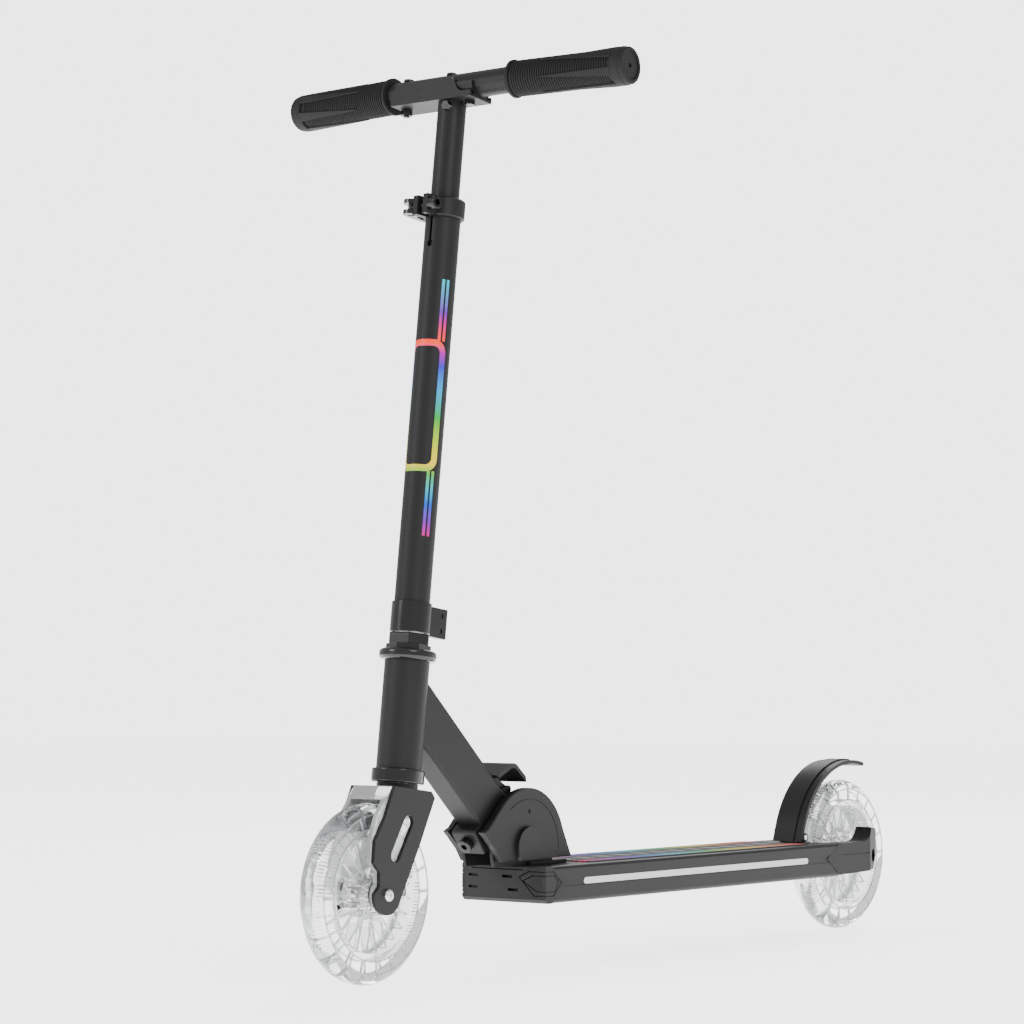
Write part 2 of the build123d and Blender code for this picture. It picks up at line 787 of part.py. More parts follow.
with BuildPart() as pivot_bolt:
    pin_plane = Plane(origin=pivot, x_dir=(1, 0, 0), z_dir=(0, 1, 0))
    with BuildSketch(pin_plane.offset(-plate_outer - 5.0)):
        Circle(pivot_bolt_r)
    extrude(amount=2 * plate_outer + 5.0)
    with BuildSketch(pin_plane.offset(plate_outer)):
        Circle(8.0)
    extrude(amount=4.6)
    fillet(pivot_bolt.edges().filter_by(GeomType.CIRCLE).sort_by(Axis.Y)[-1], 1.5)
save(pivot_bolt, "hinge_pivot_bolt")
with BuildPart() as hex_nuts:
    for x, z, outer_y in ((rear_x, wheel_r, cap_inner_y), (pivot_x, pivot_z, plate_outer)):
        nut_plane = Plane(origin=(x, 0, z), x_dir=(1, 0, 0), z_dir=(0, 1, 0))
        with BuildSketch(nut_plane.offset(-outer_y - nut_height)):
            RegularPolygon(nut_flat / 2, 6, major_radius=False)
            Circle(axle_r, mode=Mode.SUBTRACT)
        extrude(amount=nut_height)
save(hex_nuts, "deck_hex_nuts")

# ---- neck: head tube, down tube, hinge tongue and release lever --------------------------
axis_normal = Vector(cos(tilt), 0, sin(tilt))
to_axis = (steer.origin - pivot).dot(axis_normal)
down_tube_length = to_axis / tube_dir.dot(axis_normal)
head_tube_inner = head_tube_r - head_tube_wall
head_tube = ring(steer, head_tube_start, head_tube_end, head_tube_r, head_tube_inner)
save(head_tube, "head_tube")

half_tube = down_tube_depth / 2
lever_pin_along = down_tube_start + 14.0
lever_pin_above = half_tube + 5.6
lever_ear_inner = lever_stem_width / 2 + 0.5
lever_knuckle_r = 3.6
pin_point = on_tube(lever_pin_along, lever_pin_above)
tongue_half = down_tube_width / 2 - down_tube_wall
tongue_fill = half_tube - down_tube_wall

with BuildPart() as down_tube:
    with BuildSketch(tube_plane.offset(down_tube_start)):
        RectangleRounded(down_tube_width, down_tube_depth, 3.0)
        Rectangle(
            down_tube_width - 2 * down_tube_wall,
            down_tube_depth - 2 * down_tube_wall,
            mode=Mode.SUBTRACT,
        )
    extrude(amount=down_tube_length - down_tube_start)
    with BuildSketch(steer.offset(head_tube_start - 40)):
        Circle(head_tube_r)
    extrude(amount=head_tube_end - head_tube_start + 80, mode=Mode.SUBTRACT)
    # ears that carry the release lever's pin
    for side in (-1, 1):
        with BuildSketch(side_plane(side * (lever_ear_inner + 1.25))):
            with Locations(pin_point):
                Circle(lever_knuckle_r)
            with BuildLine():
                Polyline(
                    on_tube(lever_pin_along - lever_knuckle_r, lever_pin_above),
                    on_tube(lever_pin_along + lever_knuckle_r, lever_pin_above),
                    on_tube(lever_pin_along + lever_knuckle_r + 4, half_tube - 1),
                    on_tube(lever_pin_along - lever_knuckle_r, half_tube - 1),
                    close=True,
                )
            make_face()
            with Locations(pin_point):
                Circle(lever_pin_r, mode=Mode.SUBTRACT)
        extrude(amount=1.25, both=True)
    # solid tongue welded into the tube's lower end, bored for the pivot bolt
    with BuildSketch(side_plane(0)):
        with Locations((pivot_x, pivot_z)):
            Circle(tongue_r)
        with BuildLine():
            Polyline(
                on_tube(0, tongue_r),
                on_tube(down_tube_start + 3, tongue_r),
                on_tube(down_tube_start + 3, tongue_fill),
                on_tube(down_tube_start + 28, tongue_fill),
                on_tube(down_tube_start + 28, -tongue_fill),
                on_tube(down_tube_start + 3, -tongue_fill),
                on_tube(down_tube_start + 3, -tongue_r),
                on_tube(0, -tongue_r),
                close=True,
            )
        make_face()
        with Locations((pivot_x, pivot_z)):
            Circle(pivot_bolt_r + fit_running, mode=Mode.SUBTRACT)
    extrude(amount=tongue_half, both=True)
save(down_tube, "down_tube")


# block under the tube's lower end, clear of the hinge plates' rims
block_near = hinge_plate_r + 1.5
block_reach = 12.5
block_drop = 9.5
block_width = down_tube_width - 1.0
block_start = sqrt(block_near ** 2 - 1)
face_along = sqrt((block_near + 4) ** 2 - half_tube ** 2)
with BuildPart() as block:
    with BuildSketch(side_plane(0)):
        with BuildLine():
            Polyline(
                on_tube(face_along, -half_tube),
                on_tube(face_along + block_reach - 2, -half_tube),
                on_tube(face_along + block_reach, -half_tube - block_drop),
                (pivot_x + block_start + 4, pivot_z - 3.5),
                (pivot_x + block_start, pivot_z - 1),
                close=True,
            )
        make_face()
    extrude(amount=block_width / 2, both=True)
    fillet(block.edges().filter_by(Axis.Y).sort_by(Axis.X)[-1:], 3.0)
    fillet(block.faces().sort_by(Axis.Y)[-1].edges().sort_by(Axis.X)[-2:], 1.0)
save(block, "lock_block")

block_toe = on_tube(face_along + block_reach, -half_tube - block_drop)
toe = Vector(block_toe[0], 0, block_toe[1])
heel = Vector(pivot_x + block_start + 4, 0, pivot_z - 3.5)
face_run = (toe - heel).normalized()
face_normal = Vector(face_run.Z, 0, -face_run.X)
bolt_face = Plane(origin=(toe + heel) * 0.5, x_dir=(0, 1, 0), z_dir=face_normal)
with BuildPart() as lock_bolt:
    with BuildSketch(bolt_face):
        Circle(6.0)
    extrude(amount=6.0)
    fillet(lock_bolt.edges().filter_by(GeomType.CIRCLE).sort_by(Axis(bolt_face.origin, face_normal))[-1], 1.0)
    with BuildSketch(bolt_face.offset(6.0)):
        RegularPolygon(2.9, 6)
    extrude(amount=-4.0, mode=Mode.SUBTRACT)
save(lock_bolt, "lock_bolt")
save(across(pin_point[0], pin_point[1], -lever_ear_inner - 2.5, lever_ear_inner + 2.5, lever_pin_r), "lever_pin")

stem_low = half_tube + 0.5
stem_high = stem_low + lever_sheet
pedal_along = lever_pin_along + 23.0
top_x, top_z = on_tube(pedal_along, stem_high - 0.4)
with BuildPart() as release:
    # rounded foot pad that arches over to the rear
    with BuildSketch(side_plane(0)):
        with BuildLine():
            Line((top_x - 1.5, top_z - 3.4), (top_x + 1.6, top_z - 0.8))
            Line((top_x + 1.6, top_z - 0.8), (top_x - 15.5, top_z + 7.6))
            ThreePointArc((top_x - 15.5, top_z + 7.6), (top_x - 22.5, top_z + 8.6), (top_x - 28, top_z + 5.4))
            Line((top_x - 28, top_z + 5.4), (top_x - 39.4, top_z - 4.0))
            ThreePointArc((top_x - 39.4, top_z - 4.0), (top_x - 40.2, top_z - 7.0), (top_x - 37.2, top_z - 6.6))
            Line((top_x - 37.2, top_z - 6.6), (top_x - 26.4, top_z + 2.2))
            ThreePointArc((top_x - 26.4, top_z + 2.2), (top_x - 22, top_z + 4.6), (top_x - 17, top_z + 3.8))
            Line((top_x - 17, top_z + 3.8), (top_x - 1.5, top_z - 3.4))
        make_face()
    extrude(amount=pedal_width / 2, both=True)
    with BuildSketch(Plane.XY.offset(top_z - 30)):
        with Locations((top_x - 19, 0)):
            RectangleRounded(46, pedal_width, 5.5)
    extrude(amount=60, mode=Mode.INTERSECT)
    with BuildSketch(side_plane(0)):
        with Locations(pin_point):
            Circle(lever_knuckle_r)
        with BuildLine():
            Polyline(
                on_tube(lever_pin_along, stem_low),
                on_tube(pedal_along, stem_low),
                on_tube(pedal_along, stem_high),
                on_tube(lever_pin_along, lever_pin_above + lever_knuckle_r - 0.6),
                close=True,
            )
        make_face()
    extrude(amount=lever_stem_width / 2, both=True)
    with BuildSketch(side_plane(0)):
        with Locations(pin_point):
            Circle(lever_pin_r + fit_running)
    extrude(amount=lever_stem_width, both=True, mode=Mode.SUBTRACT)
save(release, "release_lever")

# ---- headset ---------------------------------------------------------------------------
steerer_r = column_r - column_wall - fit_running
with BuildPart() as cup_bottom:
    with BuildSketch(steer.offset(cup_bottom_start)):
        Circle(cup_bottom_r)
        Circle(head_tube_inner, mode=Mode.SUBTRACT)
    extrude(amount=head_tube_start - cup_bottom_start)
    fillet(cup_bottom.edges().filter_by(GeomType.CIRCLE).filter_by(
        lambda edge: edge.radius > cup_bottom_r - 0.1
    ), 1.2)
save(cup_bottom, "headset_cup_bottom")
with BuildPart() as cup_top:
    with BuildSketch(steer.offset(head_tube_end)):
        Circle(cup_top_r)
        Circle(head_tube_inner, mode=Mode.SUBTRACT)
    extrude(amount=cup_top_end - head_tube_end)
    fillet(cup_top.edges().filter_by(GeomType.CIRCLE).filter_by(
        lambda edge: edge.radius > cup_top_r - 0.1
    ), 3.4)
save(cup_top, "headset_cup_top")
with BuildPart() as headset_bearings:
    for start in (cup_bottom_start + 2, cup_top_end - 7):
        with BuildSketch(steer.offset(start)):
            Circle(head_tube_inner)
            Circle(steerer_r + fit_running, mode=Mode.SUBTRACT)
        extrude(amount=5.0)
save(headset_bearings, "headset_bearings")

# ---- fork ------------------------------------------------------------------------------
blade_outer = blade_gap_half + blade_thickness
fork_end_r = 16.0


def at_steer(forward, up):
    """Side-view (x, z) of a point given forward of and along the steering axis."""
    place = steer.origin + steer.x_dir * forward + steer.z_dir * up
    return (place.X, place.Z)


def from_axle(x, z):
    """Side-view (x, z) of a point given from the front axle."""
    return (front_x + x, wheel_r + z)


crown_front = at_steer(29.8, crown_top)
crown_rear = at_steer(-16.2, crown_top)


def blade_outline():
    """Wide at the crown, a slanting arm, a notch in front and a round end at the axle."""
    rear_end = from_axle(-fork_end_r * cos(radians(33)), -fork_end_r * sin(radians(33)))
    front_end = from_axle(fork_end_r * cos(radians(5)), fork_end_r * sin(radians(5)))
    bottom = from_axle(fork_end_r * cos(radians(-75)), fork_end_r * sin(radians(-75)))
    Polyline(
        front_end,
        from_axle(9.3, 7.5),
        from_axle(9.4, 18.6),
        from_axle(16.5, 26.3),
        from_axle(14.9, 43.7),
        from_axle(2.2, 62.8),
        crown_front,
        crown_rear,
        at_steer(-21.0, crown_top - 5.0),
        from_axle(-40.4, 38.7),
        rear_end,
    )
    ThreePointArc(rear_end, bottom, front_end)


with BuildPart() as fork:
    with BuildSketch(Plane.XZ):
        with BuildLine():
            blade_outline()
        make_face()
    extrude(amount=blade_outer, both=True)
    # hollow between the blades, under the crown
    with BuildSketch(Plane.XZ):
        with BuildLine():
            Polyline(
                at_steer(70, crown_top - blade_thickness),
                at_steer(-60, crown_top - blade_thickness),
                at_steer(-60, -60),
                at_steer(90, -60),
                close=True,
            )
        make_face()
    extrude(amount=blade_gap_half, both=True, mode=Mode.SUBTRACT)
    # the crown plate ends just in front of the steerer, where the clear guard takes over
    with BuildSketch(Plane.XZ):
        with BuildLine():
            Polyline(
                at_steer(crown_reach, crown_top + 1),
                at_steer(60, crown_top + 1),
                at_steer(60, crown_top - 2 * blade_thickness),
                at_steer(crown_reach, crown_top - 2 * blade_thickness),
                close=True,
            )
        make_face()
    extrude(amount=blade_gap_half, both=True, mode=Mode.SUBTRACT)
    # long slot in each blade and the axle hole
    slot_low = from_axle(-10.0, 31.0)
    slot_high = from_axle(-26.0, 57.0)
    slot_turn = degrees(atan2(slot_high[1] - slot_low[1], slot_high[0] - slot_low[0]))
    slot_reach = sqrt((slot_high[0] - slot_low[0]) ** 2 + (slot_high[1] - slot_low[1]) ** 2)
    with BuildSketch(Plane.XZ):
        with Locations(((slot_low[0] + slot_high[0]) / 2, (slot_low[1] + slot_high[1]) / 2)):
            SlotCenterToCenter(slot_reach, blade_slot, rotation=slot_turn)
        with Locations((front_x, wheel_r)):
            Circle(axle_r)
    extrude(amount=blade_outer + 1, both=True, mode=Mode.SUBTRACT)
    # hole in the crown for the steerer
    with BuildSketch(steer.offset(crown_top - 2 * blade_thickness)):
        Circle(steerer_r - steerer_wall)
    extrude(amount=3 * blade_thickness, mode=Mode.SUBTRACT)
    # bearing seat on the crown
    with BuildSketch(steer.offset(crown_top)):
        Circle(race_r)
        Circle(steerer_r, mode=Mode.SUBTRACT)
    extrude(amount=cup_bottom_start - gap - crown_top)
save(fork, "fork")

with BuildPart() as guard:
    guard_top = crown_top - blade_thickness
    with BuildSketch(Plane.XZ):
        with BuildLine():
            Polyline(
                from_axle(9.3, 18.6),
                from_axle(17.5, 27),
                from_axle(17.0, 44),
                from_axle(8.2, 64.5),
                from_axle(-2.0, 77.5),
                at_steer(29.6, crown_top),
                at_steer(crown_reach, crown_top),
                at_steer(crown_reach, guard_top),
                at_steer(-16.0, guard_top),
                at_steer(-19.5, guard_top - 5),
                from_axle(-37.5, 39),
                from_axle(-12.0, -6.5),
                from_axle(9.3, -6.5),
                close=True,
            )
        make_face()
        with Locations((front_x, wheel_r)):
            Circle(13.5)
            Circle(sleeve_r, mode=Mode.SUBTRACT)
    extrude(amount=blade_gap_half, both=True)
    with BuildSketch(Plane.XZ):
        with Locations((front_x, wheel_r)):
            Circle(wheel_r + guard_wheel_gap)
    extrude(amount=blade_gap_half - guard_wall, both=True, mode=Mode.SUBTRACT)
save(guard, "fork_guard")

axle_bolt("front_axle_bolt", front_x, blade_outer, 5.0, 3.0, 8.0)
axle_nut("front_axle_nut", front_x, blade_outer, nut_flat, nut_height)
axle_spacers("front_axle_spacers", front_x, blade_gap_half)

steerer = ring(steer, crown_top, steerer_end, steerer_r, steerer_r - steerer_wall)
save(steerer, "steerer_tube")

adjust_start = cup_top_end + gap
with BuildPart() as lock_nut:
    with BuildSketch(steer.offset(adjust_start)):
        RegularPolygon(lock_nut_flat / 2, 6, major_radius=False, rotation=8)
        Circle(steerer_r, mode=Mode.SUBTRACT)
    extrude(amount=adjust_nut_height)
    lock_nut_start = adjust_start + adjust_nut_height + 0.1
    with BuildSketch(steer.offset(lock_nut_start)):
        RegularPolygon(lock_nut_flat / 2, 6, major_radius=False, rotation=38)
        Circle(steerer_r, mode=Mode.SUBTRACT)
    extrude(amount=lock_nut_height)
    chamfer(lock_nut.faces().sort_by(steer_axis)[-1].edges().filter_by(GeomType.LINE), 0.8)
save(lock_nut, "headset_nuts")

# ---- column tube, band clamp -----------------------------------------------------------
column_inner = column_r - column_wall
band_start = max(column_start, lock_nut_start + lock_nut_height + 0.4)
with BuildPart() as column:
    with BuildSketch(steer.offset(band_start)):
        Circle(column_r)
        Circle(column_inner, mode=Mode.SUBTRACT)
    extrude(amount=column_end - band_start)
    front_face = Plane(origin=steer.origin, x_dir=(0, 1, 0), z_dir=steer.x_dir)
    with BuildSketch(front_face):
        with Locations((0, (key_hole_s + column_end) / 2 + 2)):
            Rectangle(key_slot_width, column_end - key_hole_s + 4)
        with Locations((0, key_hole_s)):
            Circle(key_hole_r)
    extrude(amount=2 * column_r, mode=Mode.SUBTRACT)
    with BuildSketch(front_face):
        with Locations((0, button_s)):
            Circle(button_r + gap)
    extrude(amount=-2 * column_r, mode=Mode.SUBTRACT)
save(column, "column_tube")

with BuildPart() as band:
    with BuildSketch(steer.offset(band_start)):
        Circle(band_r)
        with Locations((-(band_tab_reach + column_r) / 2, 0)):
            Rectangle(band_tab_reach - column_r, 2 * band_tab_half)
        Circle(column_r, mode=Mode.SUBTRACT)
        with Locations((-(band_tab_reach + column_r) / 2, 0)):
            Rectangle(band_tab_reach - column_r + 6, 1.0, mode=Mode.SUBTRACT)
    extrude(amount=band_height)
    side_face = Plane(origin=steer.origin, x_dir=steer.x_dir, z_dir=(0, -1, 0))
    band_middle = band_start + band_height / 2
    with BuildSketch(side_face):
        for rise in (-6.2, 6.2):
            with Locations((-band_hole_reach, band_middle + rise)):
                Circle(band_screw_r)
    extrude(amount=2 * band_tab_half, both=True, mode=Mode.SUBTRACT)
save(band, "band_clamp")
with BuildPart() as band_screws:
    for rise in (-6.2, 6.2):
        with BuildSketch(side_face.offset(-band_tab_half + 0.8)):
            with Locations((-band_hole_reach, band_middle + rise)):
                Circle(band_screw_r)
        extrude(amount=2 * band_tab_half - 0.8)
        with BuildSketch(side_face.offset(band_tab_half)):
            with Locations((-band_hole_reach, band_middle + rise)):
                Circle(1.8 * band_screw_r)
                RegularPolygon(band_screw_r * 0.8, 6, mode=Mode.SUBTRACT)
        extrude(amount=2.4)
save(band_screws, "band_clamp_screws")

with BuildPart() as bush:
    with BuildSketch(steer.offset(bush_start)):
        Circle(column_inner)
        Circle(riser_r + fit_running, mode=Mode.SUBTRACT)
        with Locations((riser_r, 0)):
            Rectangle(4 * column_wall, key_slot_width, mode=Mode.SUBTRACT)
    extrude(amount=column_end - bush_start)
save(bush, "column_bush")

with BuildPart() as button:
    rear_face = Plane(origin=steer.origin + steer.z_dir * button_s, x_dir=(0, 1, 0), z_dir=-steer.x_dir)
    with BuildSketch(rear_face.offset(column_inner + 0.15)):
        Circle(button_r)
    extrude(amount=column_wall + button_proud)
    fillet(button.edges().filter_by(GeomType.CIRCLE).sort_by(Axis.X)[0], 1.4)
save(button, "height_button")

# ---- quick-release collar --------------------------------------------------------------
turn_angle = radians(collar_turn)
collar_x = steer.x_dir * cos(turn_angle) + steer.y_dir * sin(turn_angle)
collar_middle = (collar_start + collar_end) / 2
qr = Plane(origin=steer.origin, x_dir=collar_x, z_dir=steer.z_dir)
qr_side = Plane(origin=steer.origin + steer.z_dir * collar_middle, x_dir=collar_x, z_dir=qr.y_dir)
ear_outer = ear_gap_half + ear_thickness

with BuildPart() as collar:
    with BuildSketch(qr.offset(collar_start)):
        Circle(collar_r)
        for side in (-1, 1):
            with Locations(((column_r + ear_reach) / 2, side * (ear_gap_half + ear_thickness / 2))):
                Rectangle(ear_reach - column_r, ear_thickness)
        Circle(column_r, mode=Mode.SUBTRACT)
        with Locations((collar_r, 0)):
            Rectangle(2 * (collar_r - column_r) + 3, 2 * ear_gap_half, mode=Mode.SUBTRACT)
    extrude(amount=collar_end - collar_start)
    with BuildSketch(qr.offset(column_end)):
        Circle(collar_r - 1)
        Circle(riser_r + gap, mode=Mode.SUBTRACT)
        with Locations((collar_r, 0)):
            Rectangle(2 * (collar_r - riser_r), 2 * ear_gap_half, mode=Mode.SUBTRACT)
    extrude(amount=collar_end - column_end)
    chamfer(collar.edges().filter_by(GeomType.CIRCLE).filter_by(
        lambda edge: edge.radius > collar_r - 0.1
    ).group_by(SortBy.LENGTH)[-1], 1.2)
    with BuildSketch(qr_side):
        with Locations((clamp_bolt_reach, 0)):
            Circle(clamp_bolt_r)
    extrude(amount=2 * ear_outer, both=True, mode=Mode.SUBTRACT)
save(collar, "clamp_collar")

with BuildPart() as clamp_bolt:
    with BuildSketch(qr_side.offset(-lever_pivot_side)):
        with Locations((clamp_bolt_reach, 0)):
            Circle(clamp_bolt_r)
    extrude(amount=lever_pivot_side + ear_outer + 3.0)
    with BuildSketch(qr.offset(collar_middle - 6.0)):
        with Locations((clamp_bolt_reach, -lever_pivot_side)):
            Circle(cross_pin_r)
    extrude(amount=12.0)
save(clamp_bolt, "clamp_bolt")
with BuildPart() as barrel_nut:
    with BuildSketch(qr_side.offset(ear_outer)):
        with Locations((clamp_bolt_reach, 0)):
            Circle(5.5)
    extrude(amount=8.0)
    fillet(barrel_nut.edges().filter_by(GeomType.CIRCLE).sort_by(Axis.Y)[-1], 1.0)
    with BuildSketch(qr_side.offset(ear_outer + 8.0)):
        with Locations((clamp_bolt_reach, 0)):
            RegularPolygon(2.9, 6)
    extrude(amount=-4.5, mode=Mode.SUBTRACT)
    with BuildSketch(qr_side.offset(ear_outer)):
        with Locations((clamp_bolt_reach, 0)):
            Circle(clamp_bolt_r)
    extrude(amount=3.0, mode=Mode.SUBTRACT)
save(barrel_nut, "clamp_barrel_nut")

lever_half = 6.4
with BuildPart() as clamp_lever:
    with BuildSketch(qr.offset(collar_middle - lever_half)):
        with Locations((clamp_bolt_reach, -lever_pivot_side)):
            Circle(lever_cam_r)
        with BuildLine():
            Polyline(
                (clamp_bolt_reach + 3, -lever_pivot_side - lever_cam_r + 0.7),
                (clamp_bolt_reach - 14, -lever_pivot_side - 10.0),
                (clamp_bolt_reach - 32, -lever_pivot_side - 10.4),
                (clamp_bolt_reach - 46, -lever_pivot_side - 8.0),
                (clamp_bolt_reach - 46, -lever_pivot_side - 4.0),
                (clamp_bolt_reach - 31, -lever_pivot_side - 5.6),
                (clamp_bolt_reach - 15, -lever_pivot_side - 5.0),
                (clamp_bolt_reach - 5, -lever_pivot_side - 1.0),
                close=True,
            )
        make_face()
    extrude(amount=2 * lever_half)
    with BuildSketch(qr.offset(collar_middle - clamp_bolt_r - gap)):
        with Locations((clamp_bolt_reach, -lever_pivot_side)):
            Circle(lever_cam_r + 3)
    extrude(amount=2 * (clamp_bolt_r + gap), mode=Mode.SUBTRACT)
    with BuildSketch(qr.offset(collar_middle - lever_half)):
        with Locations((clamp_bolt_reach, -lever_pivot_side)):
            Circle(cross_pin_r + fit_running)
    extrude(amount=2 * lever_half, mode=Mode.SUBTRACT)
save(clamp_lever, "clamp_lever")

# ---- handlebar -------------------------------------------------------------------------
bar_plane = Plane(origin=steer.origin + steer.z_dir * bar_s, x_dir=steer.x_dir, z_dir=steer.z_dir)
bar_side = Plane(origin=bar_plane.origin, x_dir=steer.x_dir, z_dir=(0, -1, 0))
saddle_outer = bar_r + saddle_thickness
# the screw head from below clears the riser beside it
saddle_screw_y = riser_r + 7.0
with BuildPart() as riser:
    with BuildSketch(steer.offset(riser_start)):
        Circle(riser_r)
        Circle(riser_r - riser_wall, mode=Mode.SUBTRACT)
    extrude(amount=bar_s - riser_start)
    with BuildSketch(bar_side):
        Circle(bar_r)
    extrude(amount=2 * riser_r, both=True, mode=Mode.SUBTRACT)
save(riser, "riser_tube")

sweep_angle = radians(bar_sweep)
outer_run = bar_half - bar_bend_y


def along_bar(side, distance):
    """A point on the bar's outer, swept-back run, this far beyond the bend."""
    local = Vector(-distance * sin(sweep_angle), side * (bar_bend_y + distance * cos(sweep_angle)), 0)
    return bar_plane.from_local_coords(local)


def bar_end_plane(side, distance):
    """A plane square to the outer run, facing outwards, this far beyond the bend."""
    run = steer.y_dir * side * cos(sweep_angle) - steer.x_dir * sin(sweep_angle)
    return Plane(origin=along_bar(side, distance), x_dir=steer.z_dir, z_dir=run)


with BuildPart() as crossbar:
    with BuildLine(bar_plane) as bar_path:
        reach_x = -outer_run * sin(sweep_angle)
        reach_y = bar_bend_y + outer_run * cos(sweep_angle)
        Polyline((reach_x, -reach_y), (0, -bar_bend_y), (0, bar_bend_y), (reach_x, reach_y))
        fillet(bar_path.vertices().sort_by(Axis.Y)[1:3], 60)
    with BuildSketch(bar_end_plane(-1, outer_run)):
        Circle(bar_r)
        Circle(bar_r - bar_wall, mode=Mode.SUBTRACT)
    sweep(path=bar_path.wires()[0])
    # holes for the two saddle bolts
    bolt_places = (saddle_right + 6, -riser_r / 4)
    for place in bolt_places:
        with BuildSketch(bar_plane.offset(-2 * bar_r)):
            with Locations((0, place)):
                Circle(2.6)
        extrude(amount=4 * bar_r, mode=Mode.SUBTRACT)
    with BuildSketch(bar_plane.offset(-2 * bar_r)):
        with Locations((0, saddle_screw_y)):
            Circle(2.6)
    extrude(amount=2 * bar_r, mode=Mode.SUBTRACT)
save(crossbar, "crossbar")

# bent saddle that wraps under the bar; its two walls fall in a curve to a short lip
saddle_high = 5.0
curve_foot = 22.0
curve_top = 5.0
wall_inner = max(riser_r, bar_r) + 0.1
wall_outer = wall_inner + saddle_thickness
lip_high = -8.5
with BuildPart() as saddle:
    with BuildSketch(bar_side.offset(-saddle_left)):
        Circle(saddle_outer)
        Circle(bar_r, mode=Mode.SUBTRACT)
        with Locations((0, 2 * bar_r)):
            Rectangle(4 * bar_r, 4 * bar_r, mode=Mode.SUBTRACT)
    extrude(amount=saddle_left - saddle_right)
    wall_plane = Plane(origin=bar_plane.origin, x_dir=steer.y_dir, z_dir=steer.x_dir)
    for wall_side in (-wall_outer, wall_inner):
        with BuildSketch(wall_plane.offset(wall_side)):
            with BuildLine():
                edge = Polyline(
                    (curve_foot, lip_high),
                    (saddle_left, lip_high),
                    (saddle_left, -saddle_outer + 1),
                    (saddle_right, -saddle_outer + 1),
                    (saddle_right, -saddle_high),
                )
                middle = ((curve_foot + curve_top) / 2, (lip_high + saddle_high) / 2)
                Spline(edge @ 0, middle, (curve_top, saddle_high), tangents=((-1, 0), (-1, 0)))
                Polyline((curve_top, saddle_high), (saddle_right + 6, saddle_high), (saddle_right, -saddle_high))
            make_face()
        extrude(amount=wall_outer - wall_inner)
    # the walls and the trough are joined along the bottom
    with BuildSketch(bar_side.offset(-saddle_left)):
        with Locations((0, -saddle_outer + saddle_thickness / 2)):
            Rectangle(2 * wall_outer, saddle_thickness)
        Circle(bar_r, mode=Mode.SUBTRACT)
    extrude(amount=saddle_left - saddle_right)
    with BuildSketch(bar_plane.offset(-2 * saddle_outer)):
        Circle(riser_r)
        for place in (saddle_right + 6, saddle_screw_y):
            with Locations((0, place)):
                Circle(2.6)
    extrude(amount=2 * saddle_outer, mode=Mode.SUBTRACT)
save(saddle, "bar_saddle")

# hexagonal screw head seated on the riser's round front, just below the saddle
with BuildPart() as riser_screw:
    with BuildSketch(wall_plane.offset(riser_r / 2)):
        with Locations((riser_r / 3, riser_screw_z)):
            RegularPolygon(4.0, 6)
    extrude(amount=riser_r / 2 + 2.6)
    with BuildSketch(bar_plane.offset(riser_screw_z - 5)):
        Circle(riser_r)
    extrude(amount=10, mode=Mode.SUBTRACT)

with BuildPart() as saddle_bolts:
    for place in bolt_places:
        with BuildSketch(bar_plane.offset(-saddle_outer - 6.5)):
            with Locations((0, place)):
                Circle(2.55)
        extrude(amount=saddle_outer + 6.5 + bar_r)
        with BuildSketch(bar_plane.offset(bar_r)):
            with Locations((0, place)):
                Circle(4.6)
        extrude(amount=2.0)
    fillet(saddle_bolts.edges().filter_by(GeomType.CIRCLE).sort_by(Axis.Z)[-2:], 1.2)
    # short screw up into the bar
    with BuildSketch(bar_plane.offset(-saddle_outer - 3.6)):
        with Locations((0, saddle_screw_y)):
            Circle(4.2)
    extrude(amount=3.6)
    with BuildSketch(bar_plane.offset(-saddle_outer)):
        with Locations((0, saddle_screw_y)):
            Circle(2.55)
    extrude(amount=saddle_outer - bar_r + bar_wall)
    add(riser_screw.part)
save(saddle_bolts, "saddle_bolts")

with BuildPart() as saddle_nuts:
    for place in bolt_places:
        with BuildSketch(bar_plane.offset(-saddle_outer - 5.0)):
            with Locations((0, place)):
                RegularPolygon(4.4, 6, major_radius=False)
                Circle(2.55, mode=Mode.SUBTRACT)
        extrude(amount=4.6)
save(saddle_nuts, "saddle_nuts")

# ---- grips and bar ends ----------------------------------------------------------------
grip_start = (grip_start_y - bar_bend_y) / cos(sweep_angle)
for side, name in ((1, "left"), (-1, "right")):
    with BuildPart() as grip:
        with BuildSketch(bar_end_plane(side, grip_start)):
            Circle(grip_body_r)
            Circle(bar_r, mode=Mode.SUBTRACT)
        extrude(amount=outer_run - grip_start)
        for begin, length in ((grip_start, grip_flange_length), (outer_run - grip_end_length, grip_end_length)):
            with BuildSketch(bar_end_plane(side, begin)):
                Circle(grip_flange_r)
                Circle(bar_r, mode=Mode.SUBTRACT)
            extrude(amount=length)
        chamfer(grip.edges().filter_by(GeomType.CIRCLE).filter_by(
            lambda edge: edge.radius > grip_flange_r - 0.1
        ), 0.7)
    save(grip, f"grip_{name}")

with BuildPart() as caps:
    for side in (-1, 1):
        with BuildSketch(bar_end_plane(side, outer_run - 10)):
            Circle(bar_r - bar_wall)
        extrude(amount=10)
        with BuildSketch(bar_end_plane(side, outer_run)):
            Circle(plug_r)
        extrude(amount=plug_length)
    for side in (-1, 1):
        rim = caps.edges().filter_by(GeomType.CIRCLE).sort_by(Axis.Y)[-1 if side > 0 else 0]
        fillet(rim, 1.6)
        with BuildSketch(bar_end_plane(side, outer_run + plug_length)):
            Circle(plug_r - 3.6)
        extrude(amount=-1.1, mode=Mode.SUBTRACT)
        with BuildSketch(bar_end_plane(side, outer_run + plug_length)):
            Circle(2.0)
        extrude(amount=-3.0, mode=Mode.SUBTRACT)
save(caps, "bar_end_caps")
